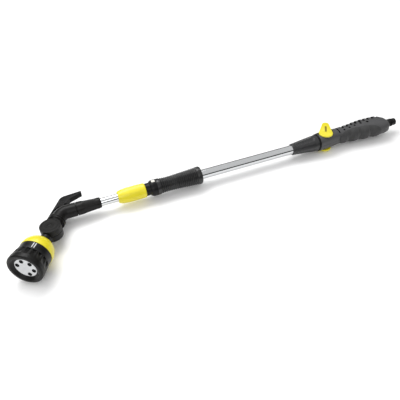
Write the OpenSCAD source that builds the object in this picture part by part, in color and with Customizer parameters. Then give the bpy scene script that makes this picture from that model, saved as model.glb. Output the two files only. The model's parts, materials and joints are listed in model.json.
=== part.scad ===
// Telescopic watering wand with a tilting shower head.
// +X runs out of the hose end along the tubes. The origin is on the tube axis, at the end of the
// hose nipple's plain nose. +Z is up with the wand lying on the ground, on its handle, its
// middle grip and the rim of its head.

/* [Pose] */
// How far the wand rolls about its tubes until handle and head both touch the ground, degrees
roll = 6.7; // [0:0.1:10]
// Angle between the tubes and the shower head as it lies, degrees
head_angle = 55.5; // [40:0.5:70]

/* [Tubes] */
// Outer diameter of the thick tube
outer_d = 20; // [19:0.5:22]
// Outer diameter of the thin tube
inner_d = 16; // [15:0.5:16]
// Wall of both tubes
tube_wall = 1; // [0.8:0.1:1.2]
// Length of thick tube that shows between the grip and the socket
outer_shows = 210.4; // [120:0.2:300]
// Length of thin tube that shows when the telescope is closed
inner_shows = 33; // [20:1:60]
// Travel of the telescope
travel = 300; // [100:10:300]

/* [Hose nipple] */
// Diameter of the plain nose that seals in the hose coupling
nose_d = 15.8; // [15:0.1:16.5]
// Diameter of the ridges that the coupling's teeth catch
ridge_d = 17.7; // [17:0.1:18.5]
// Water bore of the nipple
nipple_bore = 9; // [7:0.5:10]

/* [Handle] */
// Length of the handle body
handle_len = 181; // [178:1:190]
// Diameter of the handle where it meets the lock ring
handle_front_d = 36; // [35:1:38]
// Wall of the handle shells
shell_wall = 2.6; // [2:0.1:3]
// Spacing of the grooves across the spine
groove_pitch = 11.9; // [10:0.1:12]
// Length of the fluted socket that holds the thick tube
socket_len = 61.5; // [50:0.5:80]

/* [Flow toggle] */
// Radius of the toggle's round cheek
cheek_r = 15; // [13:0.5:15.5]
// Distance from the toggle's pivot to the centre of its tip
toggle_reach = 38; // [34:1:42]
// Lean of the toggle towards the hose end, degrees
toggle_lean = 33; // [25:1:38]
// Swing of the toggle from open to shut, degrees
toggle_swing = 66; // [40:2:66]

/* [Middle grip] */
// Length of the ribbed sleeve
sleeve_len = 94; // [80:0.5:140]
// Diameter of the sleeve at its waist
waist_d = 30.5; // [29:0.5:34]
// Largest diameter of the sleeve, near the handle
swell_d = 36.6; // [34:0.2:38]
// Number of ribs
ribs = 21; // [10:1:30]

/* [Clamp nut] */
// Length of the clamp nut
nut_len = 55; // [50:1:60]
// Diameter of the nut's narrow end
nut_front_d = 23.6; // [23:0.1:25]
// Largest diameter of the nut
nut_rear_d = 30; // [29:0.5:32]

/* [Elbow and tilt hinge] */
// Fixed bend of the elbow, degrees
elbow_angle = 60; // [50:1:65]
// Outer diameter of the elbow
elbow_d = 26.4; // [26:0.2:28]
// Length from the elbow's corner to the tilt hinge
elbow_drop = 47.3; // [46:0.1:52]
// Diameter of the tilt hinge
hinge_d = 38; // [36:1:40]
// Height of the tilt hinge along its axis
hinge_h = 25; // [24:0.5:28]

/* [Shower head] */
// Diameter of the bezel's rim
rim_d = 64; // [60:1:66]
// Distance from the tilt hinge to the front of the rim
head_len = 95.5; // [94:0.5:104]
// Diameter of the grey face plate
plate_d = 39.2; // [38:0.2:40]
// Radius of the circle that the jets sit on
jet_circle_r = 14.6; // [13:0.1:14.6]
// Number of grip scallops round the bezel
scallops = 18; // [12:1:24]

/* [Hidden] */
$fn = 96;
yellow = [0.93, 0.88, 0.12];
black = [0.09, 0.09, 0.09];
charcoal = [0.27, 0.27, 0.28];
soft_black = [0.16, 0.16, 0.17];
bright = [0.80, 0.81, 0.82];
steel = [0.62, 0.63, 0.64];
grey_plate = [0.74, 0.75, 0.75];
natural = [0.85, 0.85, 0.80];

// Gaps: a running fit, a free gap between bodies and a seat within one body
run = 0.05;
free = 0.4;
seat = 0.06;
past = 1;

// Radii
outer_r = outer_d / 2;
inner_r = inner_d / 2;
outer_bore_r = outer_r - tube_wall;
inner_bore_r = inner_r - tube_wall;
nose_r = nose_d / 2;
ridge_r = ridge_d / 2;
elbow_r = elbow_d / 2;
hinge_r = hinge_d / 2;
rim_r = rim_d / 2;
plate_r = plate_d / 2;

// Stations along the tube, from the hose end forwards
nipple_len = 25;
ring_w = 3.5;
collar_len = 13.6;
neck_len = 9.4;
connector_len = 46.5;
elbow_upper = 28.3;
x_rear = -nipple_len;
x_front = x_rear - handle_len;
x_ring = x_front - ring_w;
x_socket = x_ring - socket_len;
x_sleeve = x_socket - outer_shows;
x_collar = x_sleeve - sleeve_len;
x_neck = x_collar - collar_len;
x_nut = x_neck - neck_len;
x_thin = x_nut - nut_len;
x_connector = x_thin - inner_shows;
x_groove = x_connector - connector_len;
x_corner = x_groove - elbow_upper;
hinge_pos = [x_corner - elbow_drop * cos(elbow_angle), -elbow_drop * sin(elbow_angle), 0];

// Where tubes, bushes and seals end inside
x_outer_end = x_ring - 5;
x_outer_tip = x_nut - 1.6;
x_inner_tip = x_groove + 11;
piston_len = 28;
guide_len = 7;
x_piston = x_outer_tip + guide_len + 2 + travel;
x_inner_end = x_piston + piston_len;

// The valve, inside the front of the handle
x_valve = x_front + 20;
ball_r = 8.5;
water_r = 4.5;
chamber_r = 9;
valve_r = 11.8;
x_chamber = x_valve - 12;
x_plug = x_valve + 12;
x_valve_rear = x_valve + 22;
spindle_r = 3.5;
boss_r = 7;
boss_top = 15.2;
cheek_low = 15.9;
cheek_high = 19.4;

// Elbow
bend_r = 20;
bend_reach = bend_r * tan(elbow_angle / 2);
elbow_bore_r = 6.5;
flange_near = 20;
flange_far = 27;
flange_r = 16;
spigot_r = 10.5;
spigot_len = 9;
parting = 0.25;
cap_h = 3;
hinge_top = hinge_h / 2;
way_r = 3.7;
way_z = 4.9;
sump_r = 8;
sump_z = 8.4;
pin_r = 3;

// Release lever, in the plane of the bend
lever_z = 5;
lever_pin = [x_corner + 4, 19.5];
lever_pin_r = 1.6;
lever_hub_r = 4.6;
ear_w = 2.6;
arm_low = elbow_r + 0.7;
arm_high = elbow_r + 4.3;

// Head, along its own axis from the tilt hinge
neck_r = 10;
x_dome = 30;
x_dome_rim = 57;
x_band_end = 71;
dome_rim_r = 29.3;
band_r = 28.6;
x_plate = head_len - 4.6;
plate_t = 2;
stub_r = 4;
jet_r = 3.7;

// ---- Frames and shared shapes ----

// The wand as it lies: rolled about its tubes
module laid() {
    rotate([-roll, 0, 0]) children();
}

// The shower head's own frame: +X from the tilt hinge to the spray face
module head_frame() {
    laid() translate(hinge_pos) rotate([0, 0, 180 + head_angle]) children();
}

// The elbow's lower leg: +X from the tilt hinge up to the elbow's corner
module leg_frame() {
    translate(hinge_pos) rotate([0, 0, elbow_angle]) children();
}

// A solid turned about X from an outline of [radius, x] points
module turned(outline) {
    rotate([0, 90, 0]) rotate_extrude() polygon(outline);
}

// A round bar along X
module bar(x0, x1, r) {
    translate([x0, 0, 0]) rotate([0, 90, 0]) cylinder(h = x1 - x0, r = r);
}

// A bar that tapers along X
module taper(x0, x1, r0, r1) {
    translate([x0, 0, 0]) rotate([0, 90, 0]) cylinder(h = x1 - x0, r1 = r0, r2 = r1);
}

// A pipe along X
module pipe(x0, x1, r, bore) {
    difference() {
        bar(x0, x1, r);
        bar(x0 - past, x1 + past, bore);
    }
}

// A seal ring about X
module seal_x(x, r, wire) {
    rotate([0, 90, 0]) translate([0, 0, x]) rotate_extrude() translate([r, 0]) circle(r = wire, $fn = 32);
}

// An outline point list for a quarter round from (r0, x0) to (r1, x1), bulging outwards
function quarter(r0, x0, r1, x1, steps) =
    [for (i = [0 : steps]) let (a = 90 * i / steps) [r0 + (r1 - r0) * sin(a), x1 + (x0 - x1) * cos(a)]];

// ---- Handle ----

// Cross-sections of the handle: x, centre in y, half depth in y, half width in z
front_r = handle_front_d / 2;
stations = [
    [x_front, 0, front_r, front_r],
    [x_front + 20, 2.5, 18.8, 18.4],
    [x_front + 40, 3.5, 16.8, 17.4],
    [x_front + 54, 4.5, 15, 16.4],
    [x_front + 86, 4, 19.5, 17],
    [x_front + 121, 5, 24.5, 17.5],
    [x_rear - 16, 3.5, 25.5, 17],
    [x_rear, -3, 15.5, 14]
];

// One cross-section, a little squarer than an ellipse
module section(s, grow, thick) {
    squareness = 2 / 2.5;
    points = 48;
    translate([s[0], s[1], 0])
        rotate([0, 90, 0])
            linear_extrude(thick) polygon([
                for (i = [0 : points - 1])
                    let (c = cos(360 * i / points), d = sin(360 * i / points))
                    [
                        (s[3] + grow) * sign(c) * pow(abs(c), squareness),
                        (s[2] + grow) * sign(d) * pow(abs(d), squareness)
                    ]
            ]);
}

// The handle's outside, grown or shrunk all round, between two of its sections
module handle_form(grow = 0, first = 0, last = 7) {
    sliver = 0.01;
    for (i = [first : last - 1]) {
        hull() {
            section(stations[i], grow, sliver);
            translate([-sliver, 0, 0]) section(stations[i + 1], grow, sliver);
        }
    }
}

// Side view of the toggle: round cheek to rounded tip, at an angle from straight up
module toggle_outline(angle, grow = 0) {
    translate([x_valve, 0]) rotate(-angle) {
        tip_r = 7.5;
        lean_in = asin((cheek_r - tip_r) / toggle_reach);
        side = [cos(lean_in), sin(lean_in)];
        inset = 0.03;
        circle(r = cheek_r + grow);
        translate([0, toggle_reach]) circle(r = tip_r + grow);
        polygon([
            side * (cheek_r + grow - inset),
            [0, toggle_reach] + side * (tip_r + grow - inset),
            [0, toggle_reach] + [-side[0], side[1]] * (tip_r + grow - inset),
            [-side[0], side[1]] * (cheek_r + grow - inset)
        ]);
    }
}

// The pocket in both sides of the handle that the toggle's cheeks swing in
module toggle_pockets() {
    for (side = [-1, 1]) {
        translate([0, 0, side > 0 ? cheek_low - free : -20 - front_r])
            linear_extrude(20 + front_r - cheek_low + free) {
                swings = 6;
                spare = 7;
                for (i = [0 : swings]) {
                    toggle_outline(toggle_lean + spare - (toggle_swing + spare) * i / swings, 0.7);
                }
            }
    }
}

// A row of holes along each flank, growing towards the hose end
hole_spots = [[67, -2], [82, 0.5], [97, 2.5], [114, 4], [131, 3]];

module flank_holes() {
    for (i = [0 : len(hole_spots) - 1]) {
        translate([x_front + hole_spots[i][0], hole_spots[i][1], -30])
            cylinder(h = 60, r = 2 + 0.15 * i, $fn = 24);
    }
}

// Grooves across the spine, leaning towards the hose end, and a longer one ahead of them
module spine_grooves() {
    grooves = 9;
    lean = 20;
    depth = 1.8;
    difference() {
        union() {
            for (i = [0 : grooves - 1]) {
                translate([x_front + 67 + groove_pitch * i, 5 + 0.9 * min(i, 6), -30])
                    rotate([0, 0, -lean]) translate([-1.9, 0, 0]) cube([3.8, 40, 60]);
            }
            translate([x_front + 51.5, -6.5, -30]) cube([3.2, 40, 60]);
        }
        handle_form(-depth);
    }
}

// Both shells in one piece, before they are parted along the bend's plane
module handle_hollow() {
    difference() {
        handle_form();
        intersection() {
            handle_form(-shell_wall);
            translate([x_front + 3, -50, -50]) cube([handle_len - 6, 100, 100]);
        }
        bar(x_front - past, x_valve_rear + seat, valve_r + seat);
        bar(x_valve_rear, x_valve_rear + 4, chamber_r + 1.6 + seat);
        bar(x_rear - 4, x_rear + past, 6.3);
        translate([x_valve, 0, -30]) cylinder(h = 60, r = boss_r + free);
        toggle_pockets();
        flank_holes();
        spine_grooves();
    }
}

// Where the three shell screws stand, and the level that their heads seat on
screw_spots = [[x_front + 5.5, -13.9], [x_front + 92.7, 11.3], [x_front + 171, -14]];
screw_seat = -6.8;

module screw_holes() {
    for (spot = screw_spots) {
        translate([spot[0], spot[1], -30]) cylinder(h = 35, r = 1.3, $fn = 24);
        translate([spot[0], spot[1], -30]) cylinder(h = 30 + screw_seat + seat / 2, r = 2.5, $fn = 24);
    }
}

// Posts that the screws stand in, clear of the valve and the inlet tube
module screw_posts() {
    intersection() {
        handle_form(-0.5);
        difference() {
            for (spot = screw_spots) {
                translate([spot[0], spot[1], -30]) cylinder(h = 60, r = 3.6, $fn = 24);
            }
            bar(x_front - past, x_valve_rear + past, valve_r + seat);
            bar(x_front, x_rear, 8.2);
        }
    }
}

module handle_half(up) {
    intersection() {
        translate([x_front - 5, -60, up ? seat / 2 : -60])
            cube([handle_len + 10, 120, 60 - seat / 2]);
        difference() {
            union() {
                handle_hollow();
                screw_posts();
            }
            screw_holes();
        }
    }
}

module handle_shell_upper() {
    color(charcoal) laid() handle_half(true);
}

module handle_shell_lower() {
    color(charcoal) laid() handle_half(false);
}

// Black liners inside the shells, seen through the holes along the flanks
module spine_insert() {
    liner_z = 12;
    color(black) laid() intersection() {
        for (z0 = [liner_z, -liner_z - 1.4]) {
            translate([0, 0, z0]) linear_extrude(1.4) polygon([
                [x_front + 62, -4],
                [x_front + 62, 4],
                [x_front + 88, 7],
                [x_front + 139, 7],
                [x_front + 139, -2],
                [x_front + 95, -3]
            ]);
        }
        handle_form(-shell_wall - seat, 3, 7);
    }
}

// Soft wrap round the finger side, arched on its flanks and lobed between the fingers
module finger_grip() {
    lobes = 4;
    x_first = x_front + 50;
    lobe_len = 26.5;
    arch = [
        [0, -14], [6, -8], [16, -5.5], [32, -4], [50, -4.5],
        [70, -6.5], [86, -10.5], [96, -15.5], [103, -21], [106, -30]
    ];
    color(soft_black) laid() difference() {
        intersection() {
            handle_form(1.8, 2, 7);
            linear_extrude(80, center = true) polygon([
                [x_first, -40],
                for (p = arch) [x_first + p[0], p[1]],
                [x_first + lobes * lobe_len, -40]
            ]);
        }
        handle_form(seat, 2, 7);
        for (i = [1 : lobes - 1]) {
            translate([x_first + lobe_len * i, -23 - 3.1 * (i - 1), 0])
                cylinder(h = 80, r = 9, center = true, $fn = 32);
        }
    }
}

// Three self-tapping screws, put in from below
module shell_screws() {
    color(steel) laid() for (spot = screw_spots) {
        translate([spot[0], spot[1], screw_seat - 0.01]) cylinder(h = 11, r = 1.2);
        translate([spot[0], spot[1], screw_seat - 1.6]) cylinder(h = 1.6, r = 2.2);
    }
}

// ---- Valve and inlet ----

module hose_nipple() {
    groove_r = nose_r - 1.3;
    color(black) laid() difference() {
        turned([
            [0, x_rear - 12],
            [6, x_rear - 12],
            [6, x_rear],
            [9.4, x_rear],
            [9.4, x_rear + 1.5],
            [6.8, x_rear + 2.5],
            [6.8, x_rear + 4.5],
            [ridge_r, x_rear + 6],
            [ridge_r, x_rear + 9],
            [7.2, x_rear + 9.6],
            [7.2, x_rear + 12],
            [ridge_r, x_rear + 13],
            [ridge_r, x_rear + 15.4],
            [nose_r, x_rear + 17],
            [nose_r, -5.4],
            [groove_r, -5.4],
            [groove_r, -3],
            [nose_r, -3],
            [nose_r, 0],
            [nose_r - 1, 1],
            [0, 1]
        ]);
        bar(x_rear - 13, 2, nipple_bore / 2);
    }
}

module nipple_seal() {
    color(black) laid() rotate([0, 90, 0]) rotate_extrude()
        translate([nose_r - 0.56, -4.2]) circle(r = 0.6, $fn = 32);
}

// Strainer disc in the mouth of the nipple
module inlet_strainer() {
    rings = 2;
    color(steel) laid() difference() {
        bar(-2, -0.8, nipple_bore / 2 - seat);
        bar(-3, 0, 0.5);
        for (ring = [1 : rings]) {
            for (i = [0 : 6 * ring - 1]) {
                rotate([360 * i / (6 * ring), 0, 0]) translate([0, 1.6 * ring, 0]) bar(-3, 0, 0.5);
            }
        }
    }
}

// Pipe from the nipple to the valve, with the plug that holds the ball in
module inlet_tube() {
    color(black) laid() difference() {
        turned([
            [0, x_plug + 0.3],
            [chamber_r - seat, x_plug + 0.3],
            [chamber_r - seat, x_valve_rear + seat],
            [chamber_r + 1.6, x_valve_rear + seat],
            [chamber_r + 1.6, x_valve_rear + 3],
            [7.6, x_valve_rear + 4],
            [7.6, x_rear - 3.2],
            [0, x_rear - 3.2]
        ]);
        bar(x_plug - past, x_rear, water_r);
        bar(x_rear - 12.2, x_rear, 6 + seat);
    }
}

module valve_body() {
    color(black) laid() difference() {
        union() {
            bar(x_ring - 20, x_valve_rear, valve_r);
            translate([x_valve, 0, -boss_top]) cylinder(h = 2 * boss_top, r = boss_r);
        }
        bar(x_ring - 20 - past, x_outer_end + 0.2, outer_r + seat);
        bar(x_ring - 20, x_chamber + past, water_r);
        bar(x_chamber, x_valve_rear + past, chamber_r);
        translate([x_valve, 0, -20]) cylinder(h = 40, r = spindle_r + run);
        for (side = [-1, 1]) {
            translate([x_valve, 0, side * (boss_top - 1)]) cylinder(h = 2.02, r = 5.3, center = true);
        }
    }
}

// Two ball seats
module ball_seats() {
    color(natural) laid() difference() {
        union() {
            pipe(x_chamber + seat, x_valve - ball_r + 2, chamber_r - seat, water_r + 0.4);
            pipe(x_valve + ball_r - 2, x_plug + 0.2, chamber_r - seat, water_r + 0.4);
        }
        translate([x_valve, 0, 0]) sphere(r = ball_r + 0.1);
    }
}

module spindle_seals() {
    color(black) laid() for (side = [-1, 1]) {
        translate([x_valve, 0, side * (boss_top - 1)]) rotate_extrude()
            translate([spindle_r + 0.95, 0]) circle(r = 0.85, $fn = 32);
    }
}

module valve_ball() {
    slot = [2.4, 7.2, 4];
    color(bright) laid() translate([x_valve, 0, 0]) rotate([0, 0, 90 - toggle_lean]) difference() {
        sphere(r = ball_r);
        bar(-20, 20, water_r);
        for (side = [-1, 1]) {
            translate([0, 0, side * (ball_r - 0.4)]) cube(slot, center = true);
        }
    }
}

// Stem between ball and toggle, keyed at both ends
module stem(side) {
    key_low = ball_r - 2.2;
    laid() translate([x_valve, 0, 0]) mirror([0, 0, side > 0 ? 0 : 1]) {
        translate([0, 0, ball_r + 0.3]) cylinder(h = 17.9 - ball_r - 0.3, r = spindle_r);
        rotate([0, 0, 90 - toggle_lean]) translate([-1.1, -3.2, key_low])
            cube([2.2, 6.4, ball_r + 1 - key_low]);
    }
}

module valve_spindle() {
    color(steel) stem(1);
}

module pivot_pin() {
    color(steel) stem(-1);
}

// Thumb toggle: two cheeks joined by a bridge across the spine side
module flow_toggle() {
    tip_r = 7.5;
    color(yellow) laid() difference() {
        union() {
            for (z0 = [cheek_low, -cheek_high]) {
                translate([0, 0, z0]) linear_extrude(cheek_high - cheek_low)
                    toggle_outline(toggle_lean);
            }
            translate([x_valve, 0, 0]) rotate([0, 0, -toggle_lean])
                translate([0, toggle_reach, -cheek_low - 1]) cylinder(h = 2 * cheek_low + 2, r = tip_r - 0.4);
        }
        translate([x_valve, 0, -30]) rotate([0, 0, -toggle_lean]) {
            for (z0 = [30 + cheek_high - 1.6, 0]) {
                translate([-2.1, 4, z0])
                    cube([4.2, 24, z0 > 0 ? 10 : 30 - cheek_high + 1.6]);
            }
        }
        for (side = [-1, 1]) {
            translate([x_valve, 0, side * 16.9]) cylinder(h = 2.3, r = spindle_r + seat, center = true);
        }
    }
}

// ---- Socket, thick tube and middle grip ----

module lock_ring() {
    color(black) laid() pipe(x_ring, x_front - seat, front_r + 1, valve_r + seat);
}

// Tapered socket with long flutes
module tube_socket() {
    small_r = 12.4;
    large_r = 17.6;
    flutes = 8;
    flute_r = 4;
    color(charcoal) laid() difference() {
        turned([
            [0, x_socket],
            [small_r - 1, x_socket],
            [small_r, x_socket + 1],
            [small_r + 0.4, x_socket + 7],
            [large_r - 1, x_ring - 16],
            [large_r, x_ring - 4],
            [large_r, x_ring - seat],
            [0, x_ring - seat]
        ]);
        bar(x_socket - past, x_ring, outer_r + seat);
        bar(x_ring - 20 - seat, x_ring, valve_r + seat);
        for (i = [0 : flutes - 1]) {
            rotate([360 * (i + 0.5) / flutes, 0, 0])
                translate([x_socket + 12, 0, small_r + flute_r + 0.2])
                    rotate([0, 90 - 5.2, 0]) {
                        cylinder(h = 38, r = flute_r, $fn = 32);
                        sphere(r = flute_r, $fn = 32);
                        translate([0, 0, 38]) sphere(r = flute_r, $fn = 32);
                    }
        }
        turned([
            [outer_r, x_socket + 3],
            [outer_r + 1.6, x_socket + 3],
            [outer_r + 1.6, x_socket + 5.4],
            [outer_r, x_socket + 5.4]
        ]);
    }
}

module socket_seal() {
    color(black) laid() pipe(x_socket + 3 + seat, x_socket + 5.4 - seat, outer_r + 1.5, outer_r + seat);
}

module outer_tube() {
    color(bright) laid() pipe(x_outer_tip, x_outer_end, outer_r, outer_bore_r);
}

module guide_bush() {
    color(natural) laid() pipe(x_outer_tip, x_outer_tip + guide_len, outer_bore_r - seat, inner_r + run);
}

// Rubber sleeve: flared, waisted, with fine ribs between two smooth ends
module grip_sleeve() {
    front_r2 = 16.3;
    waist_r = waist_d / 2;
    swell_r = swell_d / 2;
    lip = 6;
    core_len = 16;
    pitch = (sleeve_len - 2 * lip - 4) / ribs;
    x_ribs = x_collar + 5;
    function body_r(t) = t < 0.25
        ? waist_r + (front_r2 - waist_r) * pow(1 - t / 0.25, 2)
        : waist_r + (swell_r - 0.6 - waist_r) * pow((t - 0.25) / 0.75, 1.2);
    groove = 0.9;
    color(soft_black) laid() difference() {
        turned([
            [outer_r + seat, x_sleeve],
            [outer_r + seat, x_collar + core_len],
            [13.06, x_collar + core_len],
            [13.06, x_collar + seat],
            [front_r2 - 0.6, x_collar + seat],
            [front_r2, x_collar + 1],
            [front_r2, x_ribs - 1],
            for (i = [0 : ribs - 1])
                let (x = x_ribs + pitch * i, r = body_r(i / (ribs - 1)))
                each [[r - groove, x], [r, x + pitch * 0.3], [r, x + pitch * 0.7], [r - groove, x + pitch]],
            [swell_r, x_sleeve - lip],
            for (i = [1 : 6])
                let (a = 15 * i)
                [swell_r - lip * (1 - cos(a)), x_sleeve - lip + lip * sin(a)]
        ]);
        for (side = [-1, 1]) {
            translate([x_ribs - 1, -1.3, side > 0 ? waist_r - groove : -30])
                cube([sleeve_len - 2 * lip - 3, 2.6, 30 - waist_r + groove]);
        }
    }
}

// Black moulding on the thick tube's end: flared collar, neck and the nut's thread
module clamp_base() {
    collar_r = 16.4;
    thread_r = 11.3;
    core_r = 13;
    notch = [7, 5, 8];
    color(black) laid() difference() {
        turned([
            [inner_r + 0.4, x_nut - 7.5],
            [thread_r, x_nut - 7.5],
            [thread_r, x_nut + 0.4],
            [12.6, x_nut + 0.8],
            [12.6, x_neck],
            [collar_r - 2, x_neck + 0.2],
            [collar_r, x_neck + 5],
            [collar_r, x_collar],
            [core_r, x_collar],
            [core_r, x_collar + 15.8],
            [outer_r + seat, x_collar + 15.8],
            [outer_r + seat, x_outer_tip - seat],
            [inner_r + 0.4, x_outer_tip - seat]
        ]);
        for (angle = [60, 180, 300]) {
            rotate([angle, 0, 0]) translate([x_neck + 2, 0, collar_r + 1.4]) cube(notch, center = true);
        }
        translate([x_collar - 9, -3.5, collar_r - 1.2]) cube([7, 7, 5]);
    }
}

// Pale marker let into the collar
module lock_marker() {
    color(natural) laid() translate([x_collar - 9 + seat, -3.5 + seat, 15.2 + seat])
        cube([7 - 2 * seat, 7 - 2 * seat, 1.3]);
}

// Split collet that the nut squeezes onto the thin tube
module collet() {
    fingers = 4;
    color(natural) laid() difference() {
        turned([
            [inner_r + run, x_thin + 8],
            [9.6, x_thin + 8],
            [10.9, x_thin + 14],
            [10.9, x_nut - 7.8],
            [inner_r + run, x_nut - 7.8]
        ]);
        for (i = [0 : fingers / 2 - 1]) {
            rotate([180 * i / (fingers / 2) + 45, 0, 0])
                translate([x_thin, -0.8, -20]) cube([nut_len - 16, 1.6, 40]);
        }
    }
}

// Clamp nut: barrel shape with long shallow flats
module clamp_nut() {
    front = nut_front_d / 2;
    rear = nut_rear_d / 2;
    flats = 8;
    color(yellow) laid() difference() {
        turned([
            [inner_r + free, x_thin],
            [front - 1.2, x_thin],
            [front, x_thin + 1.2],
            [front + 1.3, x_thin + 12],
            [rear - 0.5, x_thin + 32],
            [rear, x_nut - 12],
            [rear - 0.1, x_nut - 1.6],
            [rear - 1.4, x_nut],
            [11.3 + free, x_nut],
            [11.3 + free, x_nut - 8],
            [10.9 + free, x_nut - 10],
            [10.9 + free, x_thin + 13],
            [9.6 + free, x_thin + 7],
            [inner_r + free, x_thin + 6]
        ]);
        for (i = [0 : flats - 1]) {
            rotate([360 * i / flats, 0, 0])
                translate([x_thin + 9, 0, rear + 24.6]) rotate([0, 90, 0])
                    cylinder(h = nut_len - 16, r = 25, $fn = 96);
        }
    }
}

// ---- Thin tube and elbow ----

module inner_tube() {
    color(bright) laid() pipe(x_inner_tip, x_inner_end, inner_r, inner_bore_r);
}

module piston_bush() {
    color(natural) laid() difference() {
        pipe(x_piston, x_inner_end, outer_bore_r - run, inner_r + seat / 2);
        pipe(x_inner_end - 8, x_inner_end - 5, outer_r, inner_r + 0.45);
    }
}

module piston_seal() {
    color(black) laid() pipe(x_inner_end - 7.9, x_inner_end - 5.1, outer_bore_r - run, inner_r + 0.5);
}

// Tapered sleeve from the elbow onto the thin tube
module connector() {
    large = 13;
    small = 10.3;
    flats = 6;
    color(soft_black) laid() difference() {
        turned([
            [0, x_groove + 0.5],
            [large - 0.5, x_groove + 0.5],
            [large, x_groove + 1],
            [large, x_groove + 10],
            [small + 0.5, x_connector - 4],
            [small - 0.2, x_connector - 1.2],
            [small - 1.4, x_connector],
            [0, x_connector]
        ]);
        bar(x_inner_tip, x_connector + past, inner_r + seat);
        bar(x_groove, x_inner_tip + 0.01, spigot_r + seat);
        for (i = [0 : flats - 1]) {
            rotate([360 * i / flats + 30, 0, 0])
                translate([x_groove + 12, 0, large + 11.6]) rotate([0, 90 + 3.6, 0])
                    cylinder(h = 28, r = 12, $fn = 64);
        }
    }
}

module connector_seal() {
    color(black) laid() pipe(x_groove + spigot_len + seat, x_inner_tip - seat, spigot_r, elbow_bore_r);
}

// Both legs of the elbow, solid or bore, with a bend a hair wider than the legs between them
module elbow_run(x_end, leg_start, r) {
    lap = 1;
    bar(x_corner + bend_reach - lap, x_end, r);
    leg_frame() bar(leg_start, elbow_drop - bend_reach + lap, r);
    translate([x_corner + bend_reach, -bend_r, 0]) rotate([0, 0, 90])
        rotate_extrude(angle = elbow_angle) translate([bend_r, 0]) circle(r = r + 0.15);
}

module elbow() {
    web = 11;
    ear_r = 5.2;
    color(soft_black) laid() difference() {
        union() {
            elbow_run(x_groove, flange_far - past, elbow_r);
            bar(x_groove - past, x_groove + spigot_len, spigot_r);
            leg_frame() {
                difference() {
                    bar(flange_near, flange_far, flange_r);
                    bar(flange_near + 2.6, flange_far - 2.2, flange_r + past);
                }
                bar(flange_near, flange_far, flange_r - 1.6);
                translate([0, 0, parting]) {
                    cylinder(h = hinge_top - cap_h - parting, r = hinge_r);
                    translate([0, -web, 0]) cube([flange_near + past, 2 * web, hinge_top - cap_h - parting]);
                }
            }
            for (side = [-1, 1]) {
                ear_z = side * (lever_z + 0.35 + ear_w / 2);
                translate([lever_pin[0], lever_pin[1], ear_z]) {
                    cylinder(h = ear_w + 0.1, r = ear_r, center = true);
                    translate([-ear_r + 1, -14, -ear_w / 2]) cube([2 * ear_r - 2, 14, ear_w]);
                }
            }
        }
        elbow_run(x_groove + 20, flange_far - 2, elbow_bore_r);
        leg_frame() {
            translate([0, 0, way_z]) bar(0, flange_far, way_r);
            cylinder(h = sump_z, r = sump_r);
            cylinder(h = 40, r = pin_r + seat);
        }
        translate([lever_pin[0], lever_pin[1], -20]) cylinder(h = 40, r = lever_pin_r + seat);
        lever_arm_slot();
    }
}

// Notch in the elbow's flange that the lever's arm passes through
module lever_arm_slot() {
    leg_frame() translate([flange_near - 2, elbow_r + 0.2, -lever_z - 0.6])
        cube([flange_far - flange_near + 4, 10, 2 * lever_z + 1.2]);
}

// Round cap on the tilt hinge, with two rings turned in its face
module hinge_cap() {
    color(soft_black) laid() translate([hinge_pos[0], hinge_pos[1], 0]) difference() {
        translate([0, 0, hinge_top - cap_h + seat]) cylinder(h = cap_h - seat, r = hinge_r);
        translate([0, 0, hinge_top - 0.8]) difference() {
            cylinder(h = 2, r = 15.2);
            translate([0, 0, -1]) cylinder(h = 4, r = 7);
        }
        translate([0, 0, hinge_top - 1.2]) cylinder(h = 2, r = 4.6);
        cylinder(h = hinge_top - 1.9, r = pin_r + 1.6);
    }
}

// Bolt that holds both halves of the hinge together
module tilt_pin() {
    color(steel) laid() translate([hinge_pos[0], hinge_pos[1], 0]) {
        translate([0, 0, -hinge_top + 0.4]) cylinder(h = hinge_h - cap_h - 0.3, r = pin_r);
        translate([0, 0, hinge_top - cap_h + seat]) cylinder(h = 0.9, r = pin_r + 1.4);
    }
}

// ---- Release lever ----

module lever_pivot_pin() {
    color(steel) laid() translate([lever_pin[0], lever_pin[1], -lever_z - 3.2])
        cylinder(h = 2 * lever_z + 6.4, r = lever_pin_r);
}

// A point beside the elbow's lower leg: how far up the leg, and how far out from its axis
function beside_leg(along, out) = [
    hinge_pos[0] + along * cos(elbow_angle) - out * sin(elbow_angle),
    hinge_pos[1] + along * sin(elbow_angle) + out * cos(elbow_angle)
];

module release_lever() {
    tip = [x_corner + 45.5, 46];
    color(soft_black) laid() difference() {
        union() {
            translate([lever_pin[0], lever_pin[1], -lever_z - 0.2])
                cylinder(h = 2 * lever_z + 0.4, r = lever_hub_r);
            translate([0, 0, -lever_z]) linear_extrude(2 * lever_z) polygon([
                beside_leg(15.5, arm_high),
                beside_leg(84, arm_high - 0.5),
                beside_leg(90, arm_high - 4),
                tip + [-1.5, 1],
                tip,
                tip + [-0.6, -5],
                tip + [-2.5, -6],
                [x_corner + 21, 31],
                [x_corner + 13, 20.5],
                lever_pin + [lever_hub_r - 0.8, 0],
                lever_pin + [0, -3.8],
                [x_corner - 4.6, 15.4],
                beside_leg(elbow_drop, arm_low + 0.8),
                beside_leg(30, arm_low),
                beside_leg(15.5, arm_low)
            ]);
        }
        translate([lever_pin[0], lever_pin[1], -20]) cylinder(h = 40, r = lever_pin_r + run);
        translate([lever_pin[0], lever_pin[1], -2.6]) cylinder(h = 5.2, r = 3.4);
    }
}

// Torsion spring round the lever's pin
module lever_spring() {
    turns = 4;
    wire_r = 0.5;
    color(steel) laid() for (i = [0 : turns - 1]) {
        translate([lever_pin[0], lever_pin[1], -1.8 + 1.2 * i]) rotate_extrude()
            translate([2.5, 0]) circle(r = wire_r, $fn = 24);
    }
}

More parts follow.
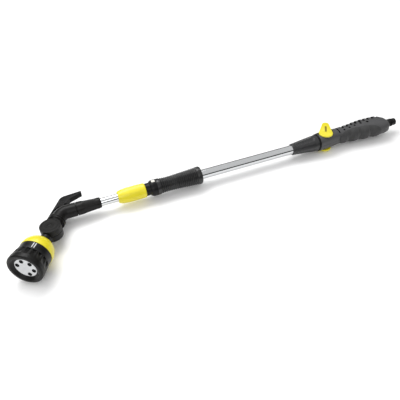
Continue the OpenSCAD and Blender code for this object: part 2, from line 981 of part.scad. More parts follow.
// Friction pad at the foot of the lever, just clear of the hinge's drum
module brake_pad() {
    color(black) laid() difference() {
        leg_frame() translate([11.4, arm_low, -lever_z + 0.2]) cube([4, 3.4, 2 * lever_z - 0.4]);
        translate([hinge_pos[0], hinge_pos[1], -20]) cylinder(h = 40, r = hinge_r + free);
    }
}

// ---- Shower head ----

// Lower half of the tilt hinge, with the neck that carries the head
module tilt_knuckle() {
    web = 9.4;
    color(soft_black) head_frame() difference() {
        union() {
            translate([0, 0, -hinge_top]) cylinder(h = hinge_top - parting, r = hinge_r);
            translate([0, -web, -web]) cube([hinge_r + 2, 2 * web, web - parting]);
            bar(hinge_r + 1, x_dome + 8, neck_r);
            bar(x_dome - 2, x_dome + 1, neck_r + 1.6);
        }
        translate([0, 0, -way_z]) bar(0, hinge_r + 6, way_r);
        bar(hinge_r + 4, x_dome + 20, elbow_bore_r - 1);
        translate([0, 0, -sump_z]) cylinder(h = 20, r = sump_r);
        translate([0, 0, -30]) cylinder(h = 40, r = pin_r + run);
        translate([0, 0, -1.6 - parting]) difference() {
            cylinder(h = 4, r = 12.2);
            translate([0, 0, -1]) cylinder(h = 8, r = 9.6);
        }
    }
}

module tilt_seal() {
    color(black) head_frame() translate([0, 0, -1.6]) difference() {
        cylinder(h = 1.5, r = 12.1);
        translate([0, 0, -1]) cylinder(h = 4, r = 9.7);
    }
}

// Nut that clamps the housing to the neck, under the dome
module neck_nut() {
    color(steel) head_frame() difference() {
        translate([x_dome + 3.2, 0, 0]) rotate([0, 90, 0]) cylinder(h = 3.7, r = neck_r + 3.4, $fn = 6);
        bar(x_dome, x_dome + 9, neck_r + seat);
    }
}

// Yellow dome, a thin shell from the neck out to the band
module dome() {
    shell = 1.8;
    steps = 10;
    fullness = 1.3;
    mouth = neck_r + 2;
    color(yellow) head_frame() turned([
        for (i = [0 : steps])
            let (a = 90 * i / steps)
            [mouth + (dome_rim_r - mouth) * pow(sin(a), fullness),
             x_dome_rim - 2.5 - (x_dome_rim - 2.5 - x_dome) * cos(a)],
        [dome_rim_r, x_dome_rim],
        [dome_rim_r - shell, x_dome_rim],
        for (i = [0 : steps])
            let (a = 90 - 90 * i / steps)
            [mouth + (dome_rim_r - shell - mouth) * pow(sin(a), fullness),
             x_dome_rim - 2.5 - (x_dome_rim - 2.5 - x_dome - shell) * cos(a)]
    ]);
}

// Housing: black band, rear wall, front wall with the water port, and the selector's stub
module head_housing() {
    wall = 2;
    port_r = 4;
    marker = 7.6;
    color(black) head_frame() difference() {
        turned([
            [elbow_bore_r, x_dome + 7],
            [neck_r + 1.5, x_dome + 7],
            [neck_r + 1.5, x_dome_rim - 1],
            [dome_rim_r - 3, x_dome_rim - 1],
            [dome_rim_r - 3, x_dome_rim + seat],
            [band_r, x_dome_rim + seat],
            [band_r + 0.4, x_band_end],
            [stub_r, x_band_end],
            [stub_r, x_plate - 9.9],
            [0, x_plate - 9.9],
            [0, x_band_end - wall],
            [band_r - wall, x_band_end - wall],
            [band_r - wall, x_dome_rim + wall],
            [elbow_bore_r, x_dome_rim + wall]
        ]);
        bar(x_dome + 6, x_dome + 8.2, neck_r + seat);
        translate([0, 0, jet_circle_r]) bar(x_band_end - 3, x_band_end + 1, port_r);
        bar(x_plate - 19.5, x_plate, 1.2);
        rotate([70, 0, 0]) translate([0, 0, 20]) bar(x_band_end - 1.5, x_band_end + 1, 1.7);
        rotate([marker_turn, 0, 0]) translate([x_dome_rim + 1.4, -marker / 2, band_r - 0.8])
            cube([x_band_end - x_dome_rim - 3, marker, 5]);
    }
}

// Where the pale double rib sits round the band
marker_turn = -18;

module pattern_marker() {
    marker = 7.6;
    rib = 1.4;
    color(grey_plate) head_frame() rotate([marker_turn, 0, 0]) intersection() {
        translate([x_dome_rim + 1.4 + seat, 0, band_r - 0.8 + seat]) {
            translate([0, -marker / 2 + seat, 0])
                cube([x_band_end - x_dome_rim - 3 - 2 * seat, marker - 2 * seat, 0.4]);
            for (side = [-1, 1]) {
                translate([0, side * 1.8 - rib / 2, 0])
                    cube([x_band_end - x_dome_rim - 3 - 2 * seat, rib, 1.3]);
            }
        }
        bar(x_dome_rim, x_band_end, band_r + 0.6);
    }
}

module port_seal() {
    color(natural) head_frame() translate([0, 0, jet_circle_r])
        pipe(x_band_end - 1.9, x_band_end + 0.5, 4 - seat, 2.8);
}

module detent_spring() {
    color(steel) head_frame() rotate([70, 0, 0]) translate([0, 0, 20])
        pipe(x_band_end - 1.4, x_band_end - 0.6, 1.6, 1.0);
}

module detent_ball() {
    color(steel) head_frame() rotate([70, 0, 0]) translate([x_band_end + 0.95, 0, 20]) sphere(r = 1.5, $fn = 48);
}

module selector_screw() {
    color(steel) head_frame() {
        bar(x_plate - 19, x_plate - 9.8, 1.1);
        bar(x_plate - 9.84, x_plate - 8.4, 5.2);
    }
}

// Turning bezel: scalloped behind, round rim in front, dished towards the plate
module bezel() {
    mouth_r = 23.6;
    back_r = band_r + 1.4;
    x_back = x_band_end + 0.6;
    round_r = 4;
    color(soft_black) head_frame() difference() {
        turned([
            [back_r - 4.4, x_back],
            [back_r - 0.6, x_back],
            [back_r, x_back + 0.8],
            [rim_r - 0.6, x_back + 11],
            [rim_r, x_back + 16],
            [rim_r, head_len - round_r],
            for (i = [1 : 6])
                let (a = 15 * i)
                [rim_r - round_r * (1 - cos(a)), head_len - round_r + round_r * sin(a)],
            [mouth_r, head_len],
            [plate_r + 1.2, x_plate + 0.2],
            [plate_r + 0.2, x_plate],
            [plate_r + 0.2, x_plate - plate_t - 0.1],
            [25.2, x_plate - plate_t - 0.1],
            [25.2, x_back + 6],
            [back_r - 4.4, x_back + 4]
        ]);
        for (i = [0 : scallops - 1]) {
            rotate([360 * i / scallops, 0, 0]) translate([x_back - past, 0, back_r + 2.2])
                rotate([0, 90 - 6, 0])
                    cylinder(h = 13, r = 3.4, $fn = 32);
        }
    }
}

// Rear plate that turns on the housing's stub and steers water to one pattern
module pattern_plate() {
    detents = 6;
    color(natural) head_frame() difference() {
        union() {
            pipe(x_band_end + 1.0, x_band_end + 5, 23.8, stub_r + run);
            pipe(x_band_end + 5 - 0.01, x_plate - plate_t - 8, stub_r + 3, stub_r + run);
            pipe(x_plate - plate_t - 12, x_plate - plate_t - 8, 23.8, stub_r + run);
            for (i = [0 : detents - 1]) {
                rotate([60 * i + 30, 0, 0]) translate([x_band_end + 4.9, -0.8, stub_r + 2])
                    cube([x_plate - plate_t - 16.8 - x_band_end, 1.6, 17.5]);
            }
        }
        for (i = [0 : detents - 1]) {
            rotate([60 * i, 0, 0]) translate([0, 0, jet_circle_r]) bar(x_band_end, x_plate, 3);
            rotate([60 * i + 70, 0, 0]) translate([x_band_end + 0.95, 0, 20]) sphere(r = 1.9, $fn = 48);
        }
        turned([
            [18.3, x_band_end],
            [21.7, x_band_end],
            [21.7, x_band_end + 2.7],
            [18.3, x_band_end + 2.7]
        ]);
    }
}

jet_turns = [0, 60, 120, 240, 300];
jet_start = -46;

// Five jets with the sixth place left blank
module jets() {
    color(black) head_frame() for (turn = jet_turns) {
        rotate([turn + jet_start, 0, 0]) translate([0, 0, jet_circle_r]) difference() {
            union() {
                bar(x_plate - plate_t - 6, x_plate + 0.9, jet_r - seat);
                bar(x_plate - plate_t - 2, x_plate - plate_t - seat, jet_r + 0.9);
            }
            difference() {
                bar(x_plate - 1, x_plate + 2, jet_r - 1);
                bar(x_plate - 2, x_plate + 0.4, 0.9);
            }
            bar(x_plate - plate_t - 7, x_plate - 2, 1.6);
        }
    }
}

// Grey face plate, drilled with rings of fine holes
module face_plate() {
    hole_r = 0.45;
    ring_step = 2.9;
    rings = 3;
    color(grey_plate) head_frame() difference() {
        bar(x_plate - plate_t, x_plate, plate_r);
        bar(x_plate - 5, x_plate + 1, hole_r);
        for (ring = [1 : rings]) {
            for (i = [0 : 6 * ring - 1]) {
                rotate([360 * i / (6 * ring), 0, 0]) translate([0, 0, ring_step * ring])
                    bar(x_plate - 5, x_plate + 1, hole_r);
            }
        }
        for (turn = jet_turns) {
            rotate([turn + jet_start, 0, 0]) translate([0, 0, jet_circle_r])
                bar(x_plate - 5, x_plate + 1, jet_r);
        }
    }
}

hose_nipple();
nipple_seal();
inlet_strainer();
inlet_tube();
handle_shell_upper();
handle_shell_lower();
spine_insert();
finger_grip();
shell_screws();
valve_body();
ball_seats();
spindle_seals();
lock_ring();
tube_socket();
socket_seal();
outer_tube();
guide_bush();
grip_sleeve();
clamp_base();
collet();
lock_marker();
valve_ball();
valve_spindle();
pivot_pin();
flow_toggle();
clamp_nut();
inner_tube();
piston_bush();
piston_seal();
connector();
connector_seal();
elbow();
hinge_cap();
tilt_pin();
lever_pivot_pin();
release_lever();
lever_spring();
brake_pad();
tilt_knuckle();
tilt_seal();
neck_nut();
dome();
head_housing();
pattern_marker();
port_seal();
detent_spring();
detent_ball();
selector_screw();
bezel();
pattern_plate();
jets();
face_plate();
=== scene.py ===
"""Looks for the telescopic watering wand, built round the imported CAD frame.

Shapes are worked out in millimetres in the wand's own frame, where +X runs out of the hose end, +Y
is the spine side of the handle and +Z is the tilt hinge's axis. place() then rolls them as the
wand lies on the ground and scales them to metres.
"""
import json
import math

import bmesh
import bpy
import numpy as np
from mathutils import Matrix, Vector


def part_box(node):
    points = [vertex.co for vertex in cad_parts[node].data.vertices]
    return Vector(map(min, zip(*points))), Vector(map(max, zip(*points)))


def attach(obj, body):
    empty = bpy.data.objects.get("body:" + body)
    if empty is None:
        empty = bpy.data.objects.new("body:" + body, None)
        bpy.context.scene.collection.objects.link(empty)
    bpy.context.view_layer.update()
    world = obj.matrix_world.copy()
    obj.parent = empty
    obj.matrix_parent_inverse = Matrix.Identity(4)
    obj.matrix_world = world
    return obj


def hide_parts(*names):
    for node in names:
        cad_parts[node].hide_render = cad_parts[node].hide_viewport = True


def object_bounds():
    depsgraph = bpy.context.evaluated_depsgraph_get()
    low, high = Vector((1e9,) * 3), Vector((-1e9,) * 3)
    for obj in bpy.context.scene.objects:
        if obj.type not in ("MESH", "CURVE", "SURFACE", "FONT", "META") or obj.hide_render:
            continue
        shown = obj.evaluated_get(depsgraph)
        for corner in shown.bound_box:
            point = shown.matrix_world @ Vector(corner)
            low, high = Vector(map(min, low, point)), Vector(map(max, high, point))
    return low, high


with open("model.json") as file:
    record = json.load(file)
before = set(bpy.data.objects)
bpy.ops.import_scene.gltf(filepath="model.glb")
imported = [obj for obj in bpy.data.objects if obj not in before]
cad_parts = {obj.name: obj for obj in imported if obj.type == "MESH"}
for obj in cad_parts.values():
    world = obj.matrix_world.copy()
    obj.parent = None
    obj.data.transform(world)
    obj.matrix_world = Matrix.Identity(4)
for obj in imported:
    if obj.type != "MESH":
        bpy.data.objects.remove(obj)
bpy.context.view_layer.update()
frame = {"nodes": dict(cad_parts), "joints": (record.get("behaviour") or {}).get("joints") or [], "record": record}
nodes = frame["nodes"]
scene = bpy.context.scene

# ---- Frames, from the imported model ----

joints = {j["name"]: j for j in frame["joints"]}
hinge_axis = Vector(joints["head_tilt"]["axis"])
ROLL = math.atan2(hinge_axis.y, hinge_axis.z)
LAID = Matrix.Rotation(-ROLL, 4, "X") @ Matrix.Scale(0.001, 4)
AXIS_TO_Z = Matrix.Rotation(math.radians(-90), 4, "Y")
head_axis = Matrix.Rotation(ROLL, 3, "X") @ Vector(joints["selector_turn"]["axis"])
HEAD_ANGLE = math.atan2(-head_axis.y, -head_axis.x)
ELBOW_ANGLE = math.radians(60)


def own_point(joint):
    """A joint's point in the wand's own frame, in millimetres."""
    return LAID.inverted() @ Vector(joints[joint]["pos_m"])


def span(node):
    """Lowest and highest x of a CAD node, in millimetres."""
    low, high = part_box(node)
    return low.x * 1000, high.x * 1000


hinge = own_point("head_tilt")
lever_pin = own_point("lever_press")
HEAD = LAID @ Matrix.Translation(hinge) @ Matrix.Rotation(math.pi + HEAD_ANGLE, 4, "Z")
HINGE = LAID @ Matrix.Translation(hinge)


def span_head(node):
    """Nearest and furthest reach of a CAD node along the head's axis, in millimetres."""
    inverse = HEAD.inverted() @ nodes[node].matrix_world
    reach = [(inverse @ v.co).x for v in nodes[node].data.vertices]
    return min(reach), max(reach)


# ---- Mesh helpers ----


def rounded(points, radius, steps=4, closed=True):
    """An outline with its corners filleted. A point may carry its own radius as a third number."""
    out = []
    count = len(points)
    for i, point in enumerate(points):
        p = Vector(point[:2])
        if not closed and i in (0, count - 1):
            out.append(tuple(p))
            continue
        own = point[2] if len(point) > 2 else radius
        a = Vector(points[i - 1][:2]) - p
        b = Vector(points[(i + 1) % count][:2]) - p
        la, lb = a.length, b.length
        if la < 1e-6 or lb < 1e-6:
            continue
        a, b = a / la, b / lb
        corner = math.acos(max(-1.0, min(1.0, a.dot(b))))
        if own <= 0 or corner > math.pi - 0.08 or corner < 0.02:
            out.append(tuple(p))
            continue
        cut = min(own / math.tan(corner / 2), 0.47 * la, 0.47 * lb)
        r = cut * math.tan(corner / 2)
        centre = p + (a + b).normalized() * (r / math.sin(corner / 2))
        start, end = p + a * cut - centre, p + b * cut - centre
        sweep = math.pi - corner
        for k in range(steps + 1):
            t = k / steps
            v = (start * math.sin((1 - t) * sweep) + end * math.sin(t * sweep)) / math.sin(sweep)
            out.append(tuple(centre + v))
    return out


def stepped(points, step, closed=True):
    """An outline with points added so that none is further than step from the next."""
    out = []
    count = len(points)
    for i in range(count if closed else count - 1):
        a, b = Vector(points[i]), Vector(points[(i + 1) % count])
        parts = max(1, math.ceil((b - a).length / step))
        out += [tuple(a.lerp(b, k / parts)) for k in range(parts)]
    if not closed:
        out.append(tuple(points[-1]))
    return out


def from_grid(rows, wrap_rows=True, wrap_columns=True):
    """A bmesh from rows of points, joined into quads."""
    bm = bmesh.new()
    made = [[bm.verts.new(p) for p in row] for row in rows]
    height, width = len(rows), len(rows[0])
    for i in range(height if wrap_rows else height - 1):
        for j in range(width if wrap_columns else width - 1):
            a, b = made[i], made[(i + 1) % height]
            bm.faces.new((a[j], a[(j + 1) % width], b[(j + 1) % width], b[j]))
    bmesh.ops.remove_doubles(bm, verts=bm.verts, dist=1e-4)
    loose = [e for e in bm.edges if not e.link_faces]
    bmesh.ops.delete(bm, geom=loose, context="EDGES")
    bmesh.ops.recalc_face_normals(bm, faces=bm.faces)
    return bm


def turned(outline, segments=96, shape=None):
    """A solid turned about X from a closed outline of (x, radius).

    shape(x, angle, radius) may change the radius.
    """
    rows = []
    for x, r in outline:
        row = []
        for k in range(segments):
            a = 2 * math.pi * k / segments
            rr = shape(x, a, r) if shape and r > 1e-6 else r
            row.append((x, -rr * math.sin(a), rr * math.cos(a)))
        rows.append(row)
    return from_grid(rows)


def prism(outline, z0, z1):
    """A straight solid from a flat outline of (x, y)."""
    bm = bmesh.new()
    outline = [p for p, q in zip(outline, [outline[-1], *outline]) if math.dist(p, q) > 1e-3]
    low = [bm.verts.new((x, y, z0)) for x, y in outline]
    high = [bm.verts.new((x, y, z1)) for x, y in outline]
    bm.faces.new(low[::-1])
    bm.faces.new(high)
    count = len(outline)
    for i in range(count):
        j = (i + 1) % count
        bm.faces.new((low[i], low[j], high[j], high[i]))
    bmesh.ops.recalc_face_normals(bm, faces=bm.faces)
    return bm


def cylinder(radius, z0, z1, at=(0, 0), segments=64, fillet=0.0):
    """A round solid along Z with softened rims."""
    outline = rounded([(z0, 0, 0), (z0, radius), (z1, radius), (z1, 0, 0)], fillet)
    bm = turned(outline, segments)
    bmesh.ops.transform(bm, matrix=Matrix.Translation((at[0], at[1], 0)) @ AXIS_TO_Z, verts=bm.verts)
    return bm


def box(low, high, matrix=None):
    """A block between two corners, moved by matrix."""
    outline = [(low[0], low[1]), (high[0], low[1]), (high[0], high[1]), (low[0], high[1])]
    bm = prism(outline, low[2], high[2])
    if matrix:
        bmesh.ops.transform(bm, matrix=matrix, verts=bm.verts)
    return bm


def capsule(width, length, z0, z1, matrix=None, steps=12):
    """A slot-shaped solid: length runs along Y."""
    half = length / 2 - width / 2
    outline = []
    for centre, start in ((half, 0), (-half, math.pi)):
        for k in range(steps + 1):
            a = start + math.pi * k / steps
            outline.append((width / 2 * math.cos(a), centre + width / 2 * math.sin(a)))
    bm = prism(outline, z0, z1)
    if matrix:
        bmesh.ops.transform(bm, matrix=matrix, verts=bm.verts)
    return bm


def as_object(name, bm, materials=()):
    """A new object made of a bmesh, which is used up."""
    mesh = bpy.data.meshes.new(name)
    bm.to_mesh(mesh)
    bm.free()
    for material in materials:
        mesh.materials.append(material)
    obj = bpy.data.objects.new(name, mesh)
    scene.collection.objects.link(obj)
    return obj


def bake(obj):
    """Applies the object's modifiers to its mesh."""
    bpy.context.view_layer.update()
    done = bpy.data.meshes.new_from_object(
        obj.evaluated_get(bpy.context.evaluated_depsgraph_get())
    )
    obj.modifiers.clear()
    old, obj.data = obj.data, done
    bpy.data.meshes.remove(old)
    return obj


def drop(*objects):
    """Deletes objects with their meshes."""
    for obj in objects:
        mesh = obj.data
        bpy.data.objects.remove(obj)
        bpy.data.meshes.remove(mesh)


def combine(obj, others, operation):
    """Exact boolean of obj with others, which are used up."""
    for other in others:
        modifier = obj.modifiers.new("cut", "BOOLEAN")
        modifier.operation = operation
        modifier.solver = "EXACT"
        modifier.object = other
        modifier.material_mode = "TRANSFER"
    bake(obj)
    drop(*others)
    return obj


def cut(obj, *cutters, material=None):
    """Takes each cutter away from obj. The new walls get the material."""
    tools = [as_object("tool", bm, [material] if material else []) for bm in cutters]
    return combine(obj, tools, "DIFFERENCE")


def merged(shapes):
    """Several closed shapes in one bmesh."""
    whole = bmesh.new()
    for bm in shapes:
        mesh = bpy.data.meshes.new("part")
        bm.to_mesh(mesh)
        bm.free()
        whole.from_mesh(mesh)
        bpy.data.meshes.remove(mesh)
    return whole


def fused(name, material, shapes, holes=(), voxel=0.4, smooth=6):
    """Closed shapes melted into one skin with small fillets where they meet, then drilled."""
    obj = as_object(name, merged(shapes), [material])
    remesh = obj.modifiers.new("skin", "REMESH")
    remesh.mode = "VOXEL"
    remesh.voxel_size = voxel
    relax = obj.modifiers.new("relax", "SMOOTH")
    relax.factor = 0.5
    relax.iterations = smooth
    bake(obj)
    return cut(obj, *holes, material=material)


def bevel(obj, width, segments=3, angle=35):
    modifier = obj.modifiers.new("edge", "BEVEL")
    modifier.width = width
    modifier.segments = segments
    modifier.limit_method = "ANGLE"
    modifier.angle_limit = math.radians(angle)
    modifier.miter_outer = "MITER_ARC"
    return bake(obj)


def shade(mesh, angle):
    """Smooth shading that breaks at edges sharper than angle."""
    bm = bmesh.new()
    bm.from_mesh(mesh)
    for face in bm.faces:
        face.smooth = True
    for edge in bm.edges:
        edge.smooth = len(edge.link_faces) == 2 and edge.calc_face_angle(0) < math.radians(angle)
    bm.to_mesh(mesh)
    bm.free()


def finish_piece(obj, place, body, replaces=(), material=None, angle=38):
    """Puts a piece made in a local frame in its place on its body."""
    obj.data.transform(place)
    shade(obj.data, angle)
    if material and not obj.data.materials:
        obj.data.materials.append(material)
    elif material:
        obj.data.materials[0] = material
    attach(obj, body)
    if replaces:
        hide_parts(*replaces)
    return obj


def piece(name, bm, place, body, replaces=(), material=None, angle=38):
    """Makes an object of a bmesh and puts it in its place on its body."""
    return finish_piece(as_object(name, bm), place, body, replaces, material, angle)


# ---- Materials ----


def add(tree, kind, **inputs):
    node = tree.nodes.new(kind)
    for key, value in inputs.items():
        node.inputs[key.replace("_", " ")].default_value = value
    return node


def noise(tree, coords, scale, detail=4.0, roughness=0.55, stretch=None):
    """A noise factor over object space, optionally stretched along the tubes."""
    source = coords
    if stretch:
        mapping = tree.nodes.new("ShaderNodeMapping")
        mapping.inputs["Scale"].default_value = stretch
        tree.links.new(coords, mapping.inputs["Vector"])
        source = mapping.outputs["Vector"]
    texture = add(tree, "ShaderNodeTexNoise", Scale=scale, Detail=detail, Roughness=roughness)
    tree.links.new(source, texture.inputs["Vector"])
    return texture.outputs["Fac"]


def spread(tree, factor, low, high, start=0.0, end=1.0):
    node = tree.nodes.new("ShaderNodeMapRange")
    for key, value in (("From Min", start), ("From Max", end), ("To Min", low), ("To Max", high)):
        node.inputs[key].default_value = value
    tree.links.new(factor, node.inputs["Value"])
    return node.outputs["Result"]


def tinted(tree, factor, dark, light):
    mix = tree.nodes.new("ShaderNodeMix")
    mix.data_type = "RGBA"
    mix.inputs["A"].default_value = (*dark, 1)
    mix.inputs["B"].default_value = (*light, 1)
    tree.links.new(factor, mix.inputs["Factor"])
    return mix.outputs["Result"]


def surface(name, dark, light, rough, grain, bump, metallic=0.0, stretch=None, wear=None,
            specular=0.5, coat=0.0, sheen=0.0, blotch=14.0):
    """A moulded or drawn surface: two tones, uneven gloss, fine grain and rubbed edges.

    grain is (scale per metre, strength of its relief in metres); rough is (least, most).
    """
    material = bpy.data.materials.new(name)
    material.use_nodes = True
    tree = material.node_tree
    shader = tree.nodes["Principled BSDF"]
    coords = tree.nodes.new("ShaderNodeTexCoord").outputs["Object"]
    broad = noise(tree, coords, blotch, 5.0, 0.6, stretch)
    fine = noise(tree, coords, grain, 3.0, 0.6, stretch)
    colour = tinted(tree, broad, dark, light)
    if wear:
        edges = tree.nodes.new("ShaderNodeNewGeometry").outputs["Pointiness"]
        rubbed = spread(tree, edges, 0.0, 1.0, 0.52, 0.62)
        mix = tree.nodes.new("ShaderNodeMix")
        mix.data_type = "RGBA"
        mix.inputs["B"].default_value = (*wear, 1)
        tree.links.new(colour, mix.inputs["A"])
        tree.links.new(rubbed, mix.inputs["Factor"])
        colour = mix.outputs["Result"]
    tree.links.new(colour, shader.inputs["Base Color"])
    tree.links.new(spread(tree, fine, rough[0], rough[1], 0.3, 0.7), shader.inputs["Roughness"])
    relief = add(tree, "ShaderNodeBump", Strength=bump, Distance=0.0002)
    tree.links.new(fine, relief.inputs["Height"])
    tree.links.new(relief.outputs["Normal"], shader.inputs["Normal"])
    shader.inputs["Metallic"].default_value = metallic
    shader.inputs["Specular IOR Level"].default_value = specular
    shader.inputs["Coat Weight"].default_value = coat
    shader.inputs["Coat Roughness"].default_value = 0.12
    shader.inputs["Sheen Weight"].default_value = sheen
    return material


black = surface("black_plastic", (0.003, 0.003, 0.0033), (0.006, 0.006, 0.0065), (0.28, 0.40), 900, 0.25,
                wear=(0.02, 0.02, 0.021), specular=0.18)
dark = surface("dark_plastic", (0.004, 0.0038, 0.0036), (0.008, 0.0076, 0.0072), (0.30, 0.44), 1100, 0.35,
               wear=(0.03, 0.03, 0.03), specular=0.18)
charcoal = surface("charcoal_plastic", (0.046, 0.046, 0.048), (0.062, 0.062, 0.064), (0.36, 0.52),
                   1600, 0.6, wear=(0.13, 0.13, 0.13))
socket_grey = surface("socket_plastic", (0.012, 0.012, 0.013), (0.022, 0.022, 0.023), (0.22, 0.34),
                      1300, 0.4, wear=(0.09, 0.09, 0.09))
rubber = surface("soft_rubber", (0.022, 0.022, 0.023), (0.034, 0.034, 0.034), (0.58, 0.76), 2200, 0.8,
                 sheen=0.10)
ribbed = surface("ribbed_rubber", (0.004, 0.004, 0.0042), (0.009, 0.009, 0.0095), (0.22, 0.34), 1500, 0.4,
                 specular=0.5)
seal = surface("seal_rubber", (0.010, 0.010, 0.010), (0.016, 0.016, 0.016), (0.45, 0.6), 900, 0.2)
tube = surface("bright_tube", (0.56, 0.57, 0.58), (0.66, 0.67, 0.68), (0.07, 0.12), 700, 0.0,
               metallic=1.0, stretch=(0.03, 1.0, 1.0))
steel = surface("steel", (0.48, 0.48, 0.49), (0.62, 0.62, 0.63), (0.25, 0.4), 900, 0.2, metallic=1.0)
chrome = surface("chromed_ball", (0.82, 0.82, 0.83), (0.9, 0.9, 0.9), (0.04, 0.1), 500, 0.05,
                 metallic=1.0)
nylon = surface("nylon", (0.62, 0.61, 0.55), (0.72, 0.71, 0.66), (0.35, 0.5), 900, 0.3)
yellow = surface("yellow_plastic", (0.66, 0.57, 0.008), (0.74, 0.64, 0.014), (0.30, 0.42), 1200, 0.25,
                 wear=(0.95, 0.90, 0.20), coat=0.15)
# Dark yellow-brown for the walls and floors of the toggle's slots: painted shade in the recess
slot_shade_amber = surface("toggle_slot_painted_shade", (0.20, 0.15, 0.01), (0.28, 0.22, 0.015), (0.4, 0.55), 1200, 0.3)
plate_grey = surface("grey_plastic", (0.60, 0.61, 0.62), (0.68, 0.69, 0.70), (0.32, 0.46), 1200, 0.3)
# Near-black and rough: the real black pad under the spine holes, and painted shade on the walls and floors of the
# holes and grooves cut into the handle
deep = surface("black_pad_and_recess_shade", (0.003, 0.003, 0.003), (0.006, 0.006, 0.006), (0.7, 0.9), 900, 0.2,
               specular=0.1)

SLOT_LOOKS = {
    "black_plastic": black,
    "charcoal_plastic": charcoal,
    "soft_rubber": rubber,
    "dark_plastic": dark,
    "seal_rubber": seal,
    "bright_tube": tube,
    "steel": steel,
    "chromed_ball": chrome,
    "nylon": nylon,
    "yellow_plastic": yellow,
    "grey_plastic": plate_grey,
}
for part in frame["record"]["subparts"]:
    obj = nodes[part["node"]]
    obj.data.materials.clear()
    obj.data.materials.append(SLOT_LOOKS[part["material_slot"]])
nodes["spine_insert"].data.materials[0] = deep
nodes["lever_pivot_pin"].data.materials[0] = black

# ---- Handle ----

x_front, x_rear = span("handle_shell_upper")
x_ring = span("lock_ring")[0]
pivot = own_point("toggle_swing").x
HANDLE_LEN = x_rear - x_front
# Distance from the front, centre in y, half depth in y, half width in z
SECTIONS = (
    (0, 0.0, 18.0, 18.0), (20, 2.5, 18.8, 18.4), (40, 3.5, 16.8, 17.4), (54, 4.5, 15.0, 16.4),
    (86, 4.0, 19.5, 17.0), (121, 5.0, 24.5, 17.5), (165, 3.5, 25.5, 17.0), (181, -3.0, 15.5, 14.0),
)
SQUARENESS = 2 / 2.5
GRIP_START, LOBES, LOBE_LEN = 50.0, 4, 26.5


def section(along):
    """Centre, half depth and half width of the handle, blended where its sections meet."""
    stations = [s[0] for s in SECTIONS]
    offsets = (-6, -4, -2, 0, 2, 4, 6)
    total = np.zeros(3)
    for offset in offsets:
        at = min(max(along + offset, 0), HANDLE_LEN)
        total += [np.interp(at, stations, [s[k] for s in SECTIONS]) for k in (1, 2, 3)]
    return total / len(offsets)


def handle_point(along, angle, grow=0.0):
    """A point on the handle. The angle turns from the spine (+Y) towards +Z."""
    centre, deep, wide = section(along)
    valley = min(abs(along - GRIP_START - LOBE_LEN * i) for i in range(1, LOBES))
    grow -= 3.0 * max(0.0, -math.cos(angle)) ** 1.5 * max(0.0, 1 - (valley / 9) ** 2)
    c, s = math.cos(angle), math.sin(angle)
    y = (deep + grow) * math.copysign(abs(c) ** SQUARENESS, c)
    z = (wide + grow) * math.copysign(abs(s) ** SQUARENESS, s)
    return x_front + along, centre + y, z


def handle_ring(along, angles, grow=0.0, seam=0.0):
    return [handle_point(along, a, grow - seam * max(0.0, 1 - abs(math.sin(a)) / 0.025)) for a in angles]


def disc(x, radius, angles):
    return [(x, radius * math.cos(a), radius * math.sin(a)) for a in angles]


SEAM = 0.5
angles = {round(2 * math.pi * k / 132, 5) for k in range(132)}
for seam_at in (0.0, math.pi):
    for away in (0.008, 0.016, 0.03):
        angles |= {round((seam_at + d) % (2 * math.pi), 5) for d in (-away, away)}
angles = sorted(angles)
front_round, rear_round = 1.0, 6.0
rows = [disc(x_front, r, angles) for r in (0.0, 10.0)]
for k in range(5):
    t = math.radians(90 - 90 * k / 4)
    rows.append(handle_ring(front_round * (1 - math.sin(t)), angles, -front_round * (1 - math.cos(t))))
for k in range(1, 150):
    along = front_round + (HANDLE_LEN - front_round - rear_round) * k / 150
    rows.append(handle_ring(along, angles, 0.0, SEAM))
for k in range(9):
    t = math.radians(90 * k / 8)
    along = HANDLE_LEN - rear_round * (1 - math.sin(t))
    rows.append(handle_ring(along, angles, -rear_round * (1 - math.cos(t)), SEAM * (1 - k / 8)))
rows += [disc(x_rear, r, angles) for r in (6.2, 0.0)]
handle = as_object("handle_shells", from_grid(rows, wrap_rows=False), [charcoal])


def inner_handle(depth, first, last):
    """The handle's form shrunk by depth, for cutters that stop short of the middle."""
    steps = 60
    made = [[(x_front + first, section(first)[0], 0.0)] * len(angles)]
    for k in range(steps + 1):
        made.append(handle_ring(first + (last - first) * k / steps, angles, -depth))
    made.append([(x_front + last, section(last)[0], 0.0)] * len(angles))
    return from_grid(made, wrap_rows=False)


# Grooves across the spine, cut to one depth all round, with walls and floors in near-black painted shade
GROOVES, GROOVE_PITCH, GROOVE_DEPTH = 9, 11.9, 2.0
tools = []
for k in range(GROOVES):
    at = Matrix.Translation((x_front + 67 + GROOVE_PITCH * k, 4 + 0.9 * min(k, 6), 0))
    lean = Matrix.Rotation(math.radians(-20), 4, "Z")
    outline = rounded([(-3.0, 0, 2.6), (3.0, 0, 2.6), (3.0, 40, 0), (-3.0, 40, 0)], 0, 5)
    bm = prism(outline, -30, 30)
    bmesh.ops.transform(bm, matrix=at @ lean, verts=bm.verts)
    # Groove walls get the near-black material: painted shade
    tools.append(as_object("groove", bm, [deep]))
outline = rounded([(51.5, -6.5, 1.5), (54.7, -6.5, 1.5), (54.7, 40, 0), (51.5, 40, 0)], 0, 5)
tools.append(as_object("groove", prism([(x_front + x, y) for x, y in outline], -30, 30), [deep]))
core = as_object("core", inner_handle(GROOVE_DEPTH, 45, 176), [deep])
for tool in tools:
    modifier = tool.modifiers.new("stop", "BOOLEAN")
    modifier.operation = "DIFFERENCE"
    modifier.solver = "EXACT"
    modifier.object = core
    bake(tool)
drop(core)
combine(handle, tools, "DIFFERENCE")

# Holes along both flanks, growing towards the hose end. Their floors stand for the real black pad beneath, and
# their near-black walls are painted shade
HOLES = ((67, -2.0), (82, 0.5), (97, 2.5), (114, 4.0), (131, 3.0))
holes = []
for k, (along, y) in enumerate(HOLES):
    for z0, z1 in ((9, 30), (-30, -9)):
        holes.append(cylinder(2.3 + 0.17 * k, z0, z1, (x_front + along, y), 32))
cut(handle, *holes, material=deep)
